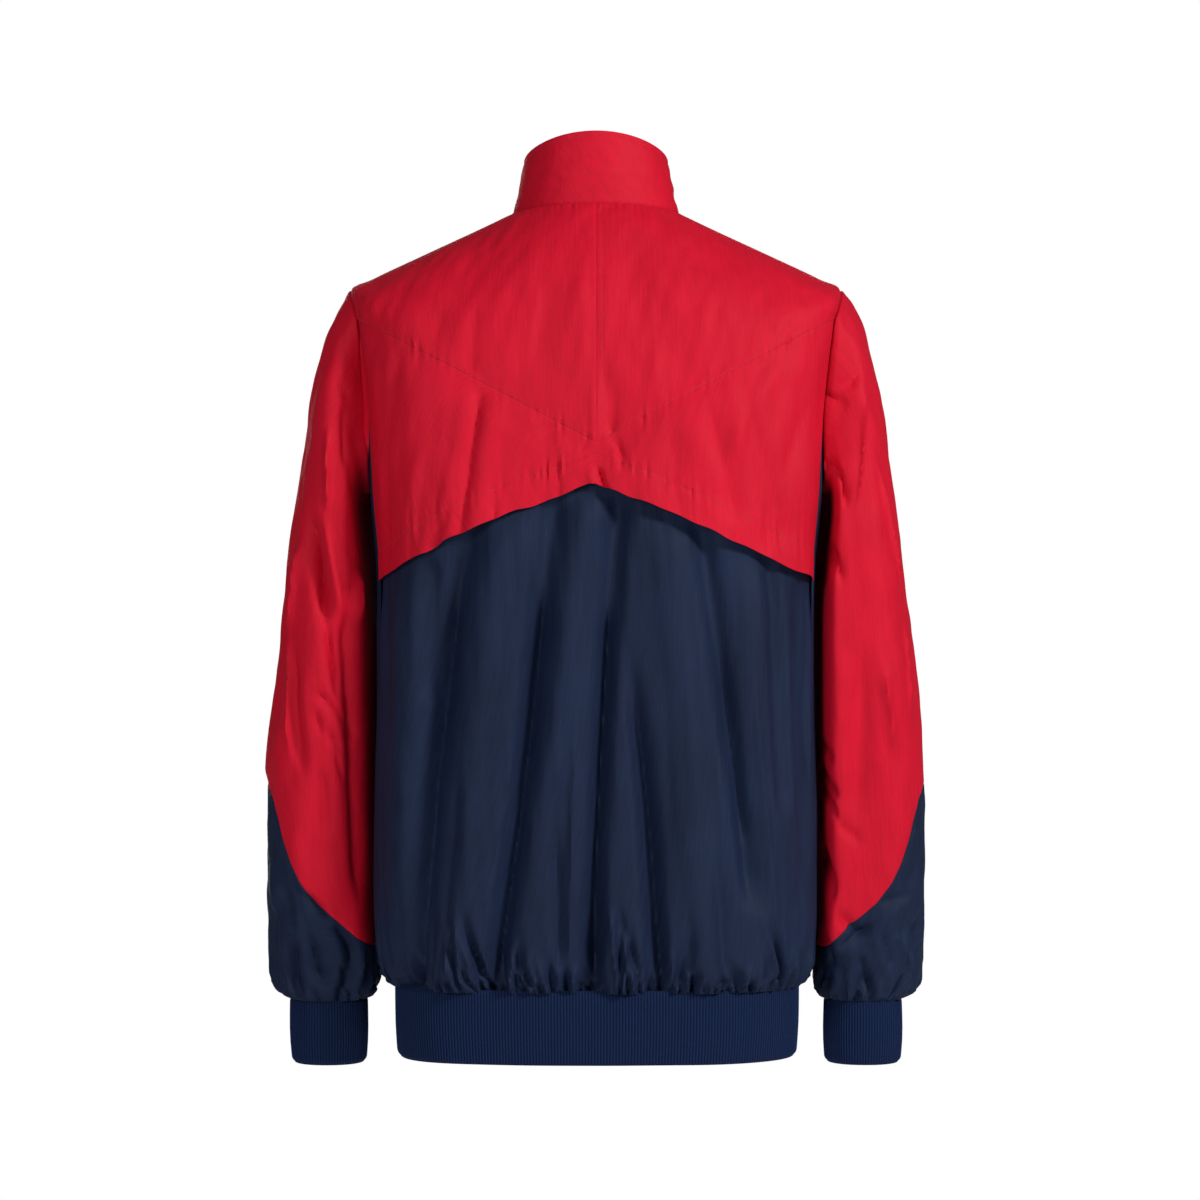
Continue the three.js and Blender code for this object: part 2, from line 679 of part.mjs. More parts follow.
function sleeveStep(step) {
  if (!sleeveSteps.has(step)) {
    const edge = armholeEdge(step);
    const inset = 2 * HALF_SEAM;
    const corner = torsoPoint(BODY_RINGS, edge.angle, edge.level);
    const middle = torsoPoint(BODY_RINGS, ARMHOLE_MIDDLE, (ARMHOLE_LEVELS.top + ARMHOLE_LEVELS.bottom) / 2);
    const start = corner.clone().add(middle.sub(corner).setLength(inset));
    const [ring] = SLEEVE_RINGS;
    const middleX = (ring.outerX + ring.innerX) / 2;
    const middleZ = (ring.outerZ + ring.innerZ) / 2;
    const halfX = (ring.outerX - ring.innerX) / 2;
    const halfZ = (ring.outerZ - ring.innerZ) / 2;
    const out = ((start.x - middleX) * halfX + (start.z - middleZ) * halfZ) / (halfX ** 2 + halfZ ** 2);
    const depth = (start.y - (ring.front + ring.back) / 2) / ((ring.back - ring.front) / 2);
    const turn = Math.atan2(depth, out);
    const reach = ringReach(Math.sin(turn), Math.cos(turn), ring.squareness);
    const rest = start.clone().sub(armPoint(SLEEVE_RINGS, turn, 0));
    sleeveSteps.set(step, { turn, rest, out: reach * Math.cos(turn) });
  }
  return sleeveSteps.get(step);
}

function sleeveBase(step, place) {
  const wrapped = ((step % ARMHOLE_STEPS) + ARMHOLE_STEPS) % ARMHOLE_STEPS;
  const { turn, rest } = sleeveStep(wrapped);
  const fade = 1 - easeIn(0, SLEEVE_BLEND_END, place);
  return armPoint(SLEEVE_RINGS, turn, place).addScaledVector(rest, fade);
}

function sleeveNormal(step, place) {
  const round = sleeveBase(step + 1, place).sub(sleeveBase(step - 1, place));
  const down = sleeveBase(step, Math.min(place + SMALL_LEVEL, SLEEVE_END))
    .sub(sleeveBase(step, Math.max(place - SMALL_LEVEL, 0)));
  return round.cross(down).normalize();
}

// Folds of a sleeve: the angle is 0 on the outer line, 90 at the back and -90 in front
function sleeveFoldDepth(side, turn, z) {
  const angle = THREE.MathUtils.radToDeg(turn);
  return SLEEVE_FOLDS.filter((fold) => fold.side === side).reduce((sum, fold) => {
    const along = (z - fold.startZ) / (fold.endZ - fold.startZ);
    if (along <= 0 || along >= 1) return sum;
    const offset = (angle - fold.angle - fold.drift * along) / fold.halfAngle;
    const ends = easeIn(0, FOLD_FADE, along) * easeIn(0, FOLD_FADE, 1 - along);
    return sum + fold.depth * ends * Math.exp(-offset * offset);
  }, 0);
}

function sleeveSeamPlace(step) {
  const height = lookUp(SLEEVE_SEAM, 'share', 'z', sleeveStep(step).out);
  let above = 0;
  let below = SLEEVE_END;
  for (let count = 0; count < 40; count += 1) {
    const middle = (above + below) / 2;
    if (sleeveBase(step, middle).z < height) below = middle;
    else above = middle;
  }
  return (above + below) / 2;
}

const UPPER_SLEEVE_PLACES = [0, 0.6, 1.3, 2.2, 3.2, 4.2, 5.2, 6, 6.6, 7.2, 7.8];
const UPPER_SLEEVE_LAST_ROWS = 3;
// Cloth bunched above a cuff, in places of the table above the sleeve's end
const BUNCH = { start: 3.2, full: 1.2, calm: 0.9, depth: 1.4, seed: 2 };
const LOWER_SLEEVE_SHARES = [0, 0.22, 0.44, 0.64, 0.8, 0.91, 1];

function sleeveWall(side, rowCount, placeOf) {
  const skin = (depth) => (column, row) => {
    const place = placeOf(column, row);
    const base = sleeveBase(column, place);
    const normal = sleeveNormal(column, place);
    const above = SLEEVE_END - place;
    const bunch = (1 - easeIn(BUNCH.full, BUNCH.start, above)) * easeIn(0, BUNCH.calm, above);
    const gathers = BUNCH.depth * bunch * gatherWave(column, side * BUNCH.seed);
    const folds = sleeveFoldDepth(side, sleeveStep(column).turn, base.z);
    const point = base.addScaledVector(normal, folds + gathers - depth);
    return point.setX(side * point.x);
  };
  return wall({ rows: rowCount, columns: ARMHOLE_STEPS, closed: true, outer: skin(0), inner: skin(SHELL) });
}

const SEAM_IN_PLACES = 0.003;

function upperSleeve(side) {
  const fixed = UPPER_SLEEVE_PLACES.length - 1;
  const lastPlace = UPPER_SLEEVE_PLACES[fixed];
  const placeOf = (column, row) => {
    if (row <= fixed) return UPPER_SLEEVE_PLACES[row];
    const share = (row - fixed) / UPPER_SLEEVE_LAST_ROWS;
    return mix(lastPlace, sleeveSeamPlace(column % ARMHOLE_STEPS) - SEAM_IN_PLACES, share);
  };
  return sleeveWall(side, fixed + UPPER_SLEEVE_LAST_ROWS, placeOf);
}

function lowerSleeve(side) {
  const placeOf = (column, row) => mix(
    sleeveSeamPlace(column % ARMHOLE_STEPS) + SEAM_IN_PLACES, SLEEVE_END, LOWER_SLEEVE_SHARES[row],
  );
  return sleeveWall(side, LOWER_SLEEVE_SHARES.length - 1, placeOf);
}

function cuff(side) {
  const place = (count, inwards) => (column, row) => {
    const turn = (2 * Math.PI * column) / count;
    const level = ((CUFF_RINGS.length - 1) * row) / BAND_ROWS;
    const point = armPoint(CUFF_RINGS, turn, level);
    const { innerX, outerX, front, back } = ringAt(CUFF_RINGS, level);
    const centre = new THREE.Vector3((innerX + outerX) / 2, (front + back) / 2, point.z);
    point.add(centre.sub(point).setLength(inwards(column)));
    return point.setX(side * point.x);
  };
  const columns = 2 * CUFF_RIBS;
  return wall({
    rows: BAND_ROWS,
    columns,
    innerColumns: CUFF_RIBS / 2,
    closed: true,
    outer: place(columns, (column) => (column % 2 ? 0 : RIB_HEIGHT)),
    inner: place(CUFF_RIBS / 2, () => RIB_KNIT + RIB_HEIGHT),
  });
}

// Zip: tape and chain down the whole front, along the centre line of collar, body and hem band
// Levels left out of the zip's line beside each seam, so that it runs on smoothly
const ZIP_STEP_OFF = { collar: 0.03, seam: 0.1, hem: 0.05 };

function frontLine() {
  const line = [];
  const addStretch = (rows, steps, from, to) => {
    for (let step = 0; step <= steps; step += 1) {
      line.push(torsoPoint(rows, HALF_TURN, mix(from, to, step / steps)));
    }
  };
  addStretch(COLLAR_RINGS, 3, 0, COLLAR_RINGS.length - 1 - ZIP_STEP_OFF.collar);
  addStretch(BODY_RINGS, 14, ZIP_STEP_OFF.seam, HEM_LEVEL - ZIP_STEP_OFF.hem);
  addStretch(HEM_RINGS, 2, ZIP_STEP_OFF.seam, HEM_RINGS.length - 1);
  return line;
}

function lineNormal(line, index) {
  const before = line[Math.max(index - 1, 0)];
  const after = line[Math.min(index + 1, line.length - 1)];
  const down = after.clone().sub(before).normalize();
  return new THREE.Vector3(0, down.z, -down.y);
}

function zip() {
  const line = frontLine();
  const profile = [
    [-ZIP_HALF_WIDTH, -TAPE_DEPTH],
    [-CHAIN_HALF_WIDTH - TAPE_DEPTH, -TAPE_DEPTH],
    [-CHAIN_HALF_WIDTH, CHAIN_HEIGHT],
    [CHAIN_HALF_WIDTH, CHAIN_HEIGHT],
    [CHAIN_HALF_WIDTH + TAPE_DEPTH, -TAPE_DEPTH],
    [ZIP_HALF_WIDTH, -TAPE_DEPTH],
  ];
  const place = (rise) => (column, row) => {
    const point = line[row].clone().addScaledVector(lineNormal(line, row), rise(column));
    return point.setX(profile[column][0]);
  };
  return wall({
    rows: line.length - 1,
    columns: profile.length - 1,
    outer: place((column) => profile[column][1]),
    inner: place(() => -TAPE_DEPTH - TAPE_CLOTH),
  });
}

// Slider and tab are drawn upright at the pin and then leaned back with the collar front.
// In their own space Z is up along the zip and -Y points away from it.
const collarTop = torsoPoint(COLLAR_RINGS, HALF_TURN, 0);
const collarBase = torsoPoint(COLLAR_RINGS, HALF_TURN, 1);
const collarLean = Math.atan2(collarTop.y - collarBase.y, collarTop.z - collarBase.z);
const alongZip = new THREE.Vector3(0, Math.sin(collarLean), Math.cos(collarLean));
const offZip = new THREE.Vector3(0, -Math.cos(collarLean), Math.sin(collarLean));
const plateFace = CHAIN_HEIGHT + RUNNING_GAP + SLIDER.plate;
const pinRise = plateFace + PIN.height;
const pinPlace = collarTop.clone()
  .addScaledVector(alongZip, -SLIDER.below + PIN.above)
  .addScaledVector(offZip, pinRise);

function solidOf(geometry) {
  const bare = geometry.clone();
  bare.deleteAttribute('normal');
  bare.deleteAttribute('uv');
  const merged = mergeVertices(bare, 1e-4);
  return new wasm.Manifold(new wasm.Mesh({
    numProp: 3,
    vertProperties: new Float32Array(merged.attributes.position.array),
    triVerts: new Uint32Array(merged.index.array),
  }));
}

function geometryOf(solid) {
  const mesh = solid.getMesh();
  const geometry = new THREE.BufferGeometry();
  geometry.setAttribute('position', new THREE.Float32BufferAttribute(mesh.vertProperties, 3));
  geometry.setIndex([...mesh.triVerts]);
  geometry.computeVertexNormals();
  return geometry;
}

const block = (width, depth, height, x, y, z) => solidOf(
  new THREE.BoxGeometry(width, depth, height).translate(x, y, z),
);
const barAlongX = (radius, length) => solidOf(
  new THREE.CylinderGeometry(radius, radius, length, 16).rotateZ(Math.PI / 2),
);

function slider() {
  const lowest = -PIN.above;
  const plateMiddle = PIN.height + SLIDER.plate / 2;
  const flangeDepth = CHAIN_HEIGHT + RUNNING_GAP;
  const flangeInside = CHAIN_HALF_WIDTH + TAPE_DEPTH + RUNNING_GAP;
  const flangeWide = SLIDER.width / 2 - flangeInside;
  let body = block(SLIDER.width, SLIDER.plate, SLIDER.length, 0, plateMiddle, lowest);
  for (const side of Object.values(SIDES)) {
    const flangeX = side * (flangeInside + flangeWide / 2);
    const flangeY = PIN.height + SLIDER.plate + flangeDepth / 2 - JOIN;
    body = body.add(block(flangeWide, flangeDepth, SLIDER.length, flangeX, flangeY, lowest));
    const earX = side * (EAR.inside + EAR.thick / 2);
    body = body.add(block(EAR.thick, EAR.height, EAR.length, earX, PIN.height + JOIN - EAR.height / 2, 0));
  }
  return body.add(barAlongX(PIN.radius, 2 * EAR.inside + EAR.thick));
}

function pullTab() {
  const neckMiddle = -(TAB.neckLength + TAB.eye / 2) / 2;
  const gripLength = TAB.length - TAB.neckLength;
  const eye = barAlongX(TAB.eye, TAB.neck);
  const neck = block(TAB.neck, TAB.thick, TAB.neckLength, 0, 0, neckMiddle - TAB.eye / 4);
  const grip = block(TAB.width, TAB.thick, gripLength, 0, 0, -TAB.neckLength - gripLength / 2);
  return eye.add(neck).add(grip).subtract(barAlongX(PIN.radius + RUNNING_GAP, 2 * TAB.neck));
}

// Metal pieces stand at the pin and lean with the collar front
function addAtPin(name, solid) {
  addPiece(name, geometryOf(solid), METAL, 0.35, 0.9);
  const piece = jacket.getObjectByName(name);
  piece.position.copy(pinPlace);
  piece.rotation.x = -collarLean;
}

addPiece('collar', collar(), RED);
addPiece('back_cape', backCape(), RED);
addPiece('back_panel', backPanel(), NAVY);
for (const [word, side] of Object.entries(SIDES)) {
  addPiece(`back_yoke_${word}`, backYoke(side), RED);
  addPiece(`front_yoke_${word}`, frontYoke(side), RED);
  addPiece(`front_${word}`, frontPanel(side), NAVY);
  addPiece(`sleeve_upper_${word}`, upperSleeve(side), RED);
  addPiece(`sleeve_lower_${word}`, lowerSleeve(side), NAVY);
  addPiece(`cuff_${word}`, cuff(side), RIB_NAVY, 0.9);
}
addPiece('hem_band', hemBand(), RIB_NAVY, 0.9);
addPiece('front_zip', zip(), NAVY, 0.6);
addAtPin('zip_slider', slider());
addAtPin('zip_pull_tab', pullTab());

export default jacket;
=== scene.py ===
"""Zip-up windbreaker jacket, filled out as if worn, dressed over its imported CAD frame.

The tables are in millimetres and the finished pieces in metres. The front faces -Y, +X is the wearer's
left and +Z is up. Angles run round the body from the centre back (0 degrees) over the wearer's left
side (90) to the centre front (180); the right side has negative angles.
"""
import logging
import math
from dataclasses import dataclass, fields
from enum import Enum
from typing import Callable, Iterable, Sequence

import bpy
import numpy as np
from mathutils import Matrix, Vector


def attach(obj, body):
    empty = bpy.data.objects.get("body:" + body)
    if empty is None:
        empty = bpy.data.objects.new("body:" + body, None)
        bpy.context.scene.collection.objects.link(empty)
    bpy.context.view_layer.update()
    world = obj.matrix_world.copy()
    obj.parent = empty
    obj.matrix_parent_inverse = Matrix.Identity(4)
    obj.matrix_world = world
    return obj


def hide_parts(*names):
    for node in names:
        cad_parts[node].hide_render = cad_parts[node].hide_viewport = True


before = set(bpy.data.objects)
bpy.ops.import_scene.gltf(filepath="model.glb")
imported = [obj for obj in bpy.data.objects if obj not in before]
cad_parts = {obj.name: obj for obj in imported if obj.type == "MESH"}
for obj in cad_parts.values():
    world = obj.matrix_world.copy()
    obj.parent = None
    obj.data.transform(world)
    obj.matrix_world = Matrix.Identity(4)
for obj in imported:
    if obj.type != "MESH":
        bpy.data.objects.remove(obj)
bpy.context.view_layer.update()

LOG = logging.getLogger("jacket")
MM = 0.001

# Cloth thicknesses and the room along each side of a seam, in millimetres
SHELL = 0.7
COLLAR_CLOTH = 2.0
RIB_KNIT = 2.2
HALF_SEAM = 0.12

# Driving places on the body, in ring levels and in degrees
HEM_LEVEL = 13.0
ARMHOLE_MIDDLE = 90.75
ARMHOLE_REACH = 26.25
ARMHOLE_TOP, ARMHOLE_TOP_END = 4.0, 4.45
ARMHOLE_BOTTOM_START, ARMHOLE_BOTTOM = 5.9, 7.0
SIDE_SEAM = ARMHOLE_MIDDLE - ARMHOLE_REACH
ARMHOLE_FRONT = ARMHOLE_MIDDLE + ARMHOLE_REACH
BACK_SEAM_POINT_Z = -202.6
FRONT_SEAM_Z = -150.0
ZIP_HALF_WIDTH = 7.0
PIN_PLACE = (0, -71.248, 13.805)
HALF_TURN = 180.0
SHOULDER_ARCH = 1.5
SLEEVE_END = 14.0
SLEEVE_BLEND_END = 3.0


class Side(Enum):
    """The wearer's two sides, with the sign of X there."""

    LEFT = 1
    RIGHT = -1

    @property
    def word(self) -> str:
        """The side as it stands in the names of nodes."""
        return self.name.lower()


@dataclass(frozen=True)
class TorsoRing:
    """One ring round the body, collar or hem band, in millimetres."""

    half_width: float
    back: float
    front: float
    z_back: float
    z_side: float
    z_front: float
    squareness: float


@dataclass(frozen=True)
class ArmRing:
    """One ring of a sleeve or cuff: its outer and inner points and how far it reaches in Y."""

    outer_x: float
    outer_z: float
    inner_x: float
    inner_z: float
    front: float
    back: float
    squareness: float


@dataclass(frozen=True)
class Fold:
    """A soft trough or ridge from a start to an end; a negative depth is a valley."""

    start_x: float
    start_z: float
    end_x: float
    end_z: float
    bow: float
    half_width: float
    depth: float
    sharpness: float = 2.0
    fade_in: float = 0.3
    fade_out: float = 0.12


BODY_RINGS = (
    TorsoRing(72, 66, -85, 1.5, -2, -42, 2.0),
    TorsoRing(105, 84, -97, -22, -17.3, -60, 2.1),
    TorsoRing(150, 102, -110, -52, -38, -84, 2.4),
    TorsoRing(190, 115, -120, -84, -56.6, -106, 2.8),
    TorsoRing(209, 122, -127, -112, -67, -126, 3.1),
    TorsoRing(203, 126.5, -133, -145, -112, -152, 3.3),
    TorsoRing(197, 130, -138, -182, -172, -186, 3.3),
    TorsoRing(193, 130.5, -140, -240, -240, -240, 3.3),
    TorsoRing(187.5, 129.5, -139, -320, -320, -320, 3.2),
    TorsoRing(187.5, 127, -136.5, -420, -420, -420, 3.2),
    TorsoRing(189, 125, -134, -520, -520, -520, 3.2),
    TorsoRing(188.5, 123.5, -132, -600, -600, -600, 3.2),
    TorsoRing(184, 120.5, -128, -640, -640, -640, 3.2),
    TorsoRing(174, 115, -121.5, -660, -660, -660, 3.2),
)
COLLAR_RINGS = (
    TorsoRing(61.5, 59, -62, 63.5, 46, 20, 2.0),
    TorsoRing(65.5, 62.5, -73, 33, 24, -10, 2.0),
    TorsoRing(71.3, 65.5, -84.4, 2.3, -1.2, -41.2, 2.0),
)
HEM_RINGS = (
    TorsoRing(173, 114.4, -120.8, -660.4, -660.4, -660.4, 3.2),
    TorsoRing(172.5, 113.6, -120, -690, -690, -690, 3.2),
    TorsoRing(170.5, 112, -118, -720, -720, -720, 3.2),
)
SLEEVE_RINGS = (
    ArmRing(209, -67, 193, -239.7, -70, 62, 2.6),
    ArmRing(217, -77, 197.3, -241.5, -73, 65, 2.5),
    ArmRing(226, -93, 199, -245, -76, 68, 2.4),
    ArmRing(236.5, -126, 200, -253, -79, 70, 2.4),
    ArmRing(244.5, -161, 199.5, -266, -81, 71, 2.4),
    ArmRing(250, -200, 197.5, -284, -82, 71, 2.4),
    ArmRing(256.5, -247, 195, -308, -83, 70, 2.4),
    ArmRing(267, -333, 192, -360, -82, 67, 2.3),
    ArmRing(278, -419, 192, -425, -80, 60, 2.3),
    ArmRing(283, -505, 193, -505, -76, 50, 2.2),
    ArmRing(283.5, -575, 193, -575, -71, 41, 2.2),
    ArmRing(282.5, -625, 191.5, -625, -67, 35, 2.2),
    ArmRing(279.5, -655, 190, -653, -64, 31, 2.2),
    ArmRing(272.5, -670.5, 192.5, -668.5, -61, 27, 2.2),
    ArmRing(264.3, -676, 196.7, -676, -57.3, 22.3, 2.2),
)
CUFF_RINGS = (
    ArmRing(264, -676.4, 197, -676.4, -57, 22, 2.2),
    ArmRing(264.4, -704, 196.6, -704, -57.4, 22.4, 2.2),
    ArmRing(262.6, -731, 198, -731, -55.8, 20.8, 2.2),
)

# The seam between red and navy sleeve: the share of the way out, and its height
SLEEVE_SEAM_SHARES = (-1, -0.44, 0, 0.29, 0.5, 0.64, 0.86, 1)
SLEEVE_SEAM_HEIGHTS = (-630, -608, -591, -574, -556, -539, -505, -490)

# The free edge of the cape: across, its height, and how far it stands off the panel below
CAPE_EDGE_X = (-195, -171, -149, -116, -83, -36, -8, 0, 6, 32, 85, 125, 138, 176, 195)
CAPE_EDGE_Z = (-324, -311, -302, -285, -270, -249.5, -241, -237, -237, -248, -266.5, -284, -293, -312, -324)
CAPE_STAND_OFF = (0.6, 1.5, 2.5, 4, 7, 6.5, 4, 3, 2, 1.5, 2, 2.5, 2.5, 1, 0.6)
CAPE_ROOM = 2.3
CAPE_HEM = 24.0

BACK_FOLDS = (
    Fold(104, -250, 152, -700, 9, 14, -12, fade_in=0.04),
    Fold(116, -320, 156, -700, 7, 6, -5, 1.4, fade_in=0.1),
    Fold(35, -235, 94, -700, -5, 11.5, -9.5, fade_in=0.04),
    Fold(42, -320, 92, -700, -4, 5, -5.5, 1.4, fade_in=0.1),
    Fold(-21, -235, 6, -700, 4, 9.5, -9, fade_in=0.04),
    Fold(-12, -330, 4, -700, 2, 4.5, -6, 1.4, fade_in=0.1),
    Fold(-22, -340, -52, -700, -5, 8.5, -8),
    Fold(-30, -390, -56, -690, -4, 4.5, -4.5, 1.4),
    Fold(-86, -255, -134, -600, 0, 9, -8, fade_in=0.04),
    Fold(-104, -360, -128, -540, 0, 4.5, -4, 1.4),
    Fold(-146, -280, -160, -520, 0, 8, -6, fade_in=0.05),
    Fold(-173, -310, -176, -600, 0, 8, -4, fade_in=0.05),
    Fold(138, -300, 141, -420, 0, 7, -4, fade_in=0.05),
    Fold(72, -250, 124, -690, 3, 13, 4.5, fade_in=0.1),
    Fold(-52, -250, -96, -690, 0, 15, 4, fade_in=0.1),
    Fold(6, -240, 40, -500, 0, 12, 4, fade_in=0.1),
    Fold(112, -460, 130, -640, 0, 6, -4, 1.5),
    Fold(34, -500, 28, -700, 0, 6, -5, 1.5),
    Fold(-129, -385, -152, -620, 0, 3.2, 2.2, 1.2),
    Fold(16, -400, 22, -640, 1, 2.8, 1.8, 1.2),
    Fold(64, -420, 98, -640, -2, 4, 1.8, 1.3),
    Fold(-100, -540, -110, -700, 0, 7, -4.5, 1.5),
    Fold(-78, -590, -80, -700, 0, 5, -4, 1.5),
    Fold(170, -560, 166, -700, 0, 7, -4, 1.5),
    Fold(-22, -600, -24, -700, 0, 7, 3, 1.5),
    Fold(64, -600, 62, -700, 0, 5, -4, 1.5),
)
CAPE_FOLDS = (
    Fold(92, -132, 112, -288, 0, 4.2, -4.4, 1.2),
    Fold(82, -150, 102, -300, 0, 9, 2.6),
    Fold(108, -160, 124, -290, 0, 9, 2.0),
    Fold(117, -250, 138, -304, 0, 3.4, -3.6, 1.3),
    Fold(81, -246, 86, -280, 0, 2.4, -2.2, 1.3),
    Fold(30, -226, 31, -262, 0, 2.4, -1.8, 1.3),
    Fold(-90, -160, -116, -270, 0, 8, -3.2, 1.6),
    Fold(-118, -150, -158, -292, 0, 9, -3.4, 1.6),
    Fold(-186, -150, -138, -300, 6, 8, -2.8, 1.5),
    Fold(-165, -118, -96, -250, 6, 9, 2.2, 1.6),
    Fold(-62, -180, -70, -282, 0, 9, -2.4, 1.6),
    Fold(-6, -160, -24, -232, 0, 5, -2.6, 1.4),
    Fold(-1, -221, -9, -246, 0, 2.0, -6, 1.2, 0.3, 0.02),
    Fold(6, -224, 2, -246, 0, 3, 1.8, 1.4, 0.3, 0.02),
    Fold(36, -170, 44, -270, 0, 8, -1.8),
    Fold(165, -120, 172, -330, 4, 8, -2.4, 1.6),
    Fold(146, -200, 158, -320, 0, 8, 1.8, 1.6),
)
COLLAR_FOLDS = (
    Fold(-22, 38, -44, 33, 0, 1.6, -0.7, 1.6, 0.4, 0.4),
    Fold(-26, 33, -40, 29, 0, 1.4, -0.5, 1.6, 0.4, 0.4),
    Fold(-10, 12, -52, 9, 0, 2.5, -0.5, 1.6, 0.4, 0.4),
    Fold(50, 24, 24, 20, 0, 2.2, -0.5, 1.6, 0.4, 0.4),
)
# Folds that run on across the pointed seam at its point
CENTRE_FOLDS = (
    Fold(-6, -178, -27, -226, 0, 3, -2.6, 1.4, 0.35, 0.35),
    Fold(-14, -140, -15, -204, 0, 5, -2.2, 1.6, 0.4, 0.3),
    Fold(5, -150, 1, -216, 0, 4, 1.4, 1.5, 0.4, 0.3),
    Fold(14, -214, 4, -192, 0, 1.8, -1.4, 1.3, 0.35, 0.35),
)
YOKE_FOLDS = (
    Fold(60, -30, 140, -120, 8, 14, -1.6),
    Fold(-60, -30, -150, -115, -8, 14, -1.6),
    Fold(-24, -40, -92, -170, 8, 16, -1.8),
    Fold(26, -40, 76, -175, -8, 16, -1.8),
    Fold(100, -80, 104, -150, 0, 6, -1.8, 1.5),
    Fold(128, -84, 138, -140, 0, 6, -1.6, 1.5),
    Fold(-4, -130, -14, -205, 0, 6, -2.2, 1.5),
    Fold(-190, -85, -120, -160, 6, 8, -2.0, 1.5),
    Fold(48, -60, 60, -180, 0, 6, 1.2, 1.5),
    Fold(-44, -70, -54, -190, 0, 6, 1.2, 1.5),
)
FRONT_FOLDS = (
    Fold(150, -270, 128, -560, -6, 15, -5),
    Fold(92, -320, 84, -690, 6, 15, -5),
    Fold(44, -420, 52, -690, -3, 12, -4),
    Fold(-158, -270, -120, -600, 7, 15, -6),
    Fold(-78, -340, -92, -690, -5, 14, -5),
    Fold(-38, -450, -44, -690, 2, 12, -3.5),
    Fold(168, -200, 110, -420, 0, 8, -2, 1.5),
    Fold(-172, -190, -104, -380, 0, 8, -2, 1.5),
    Fold(60, -200, 76, -380, 0, 10, 1.6),
)

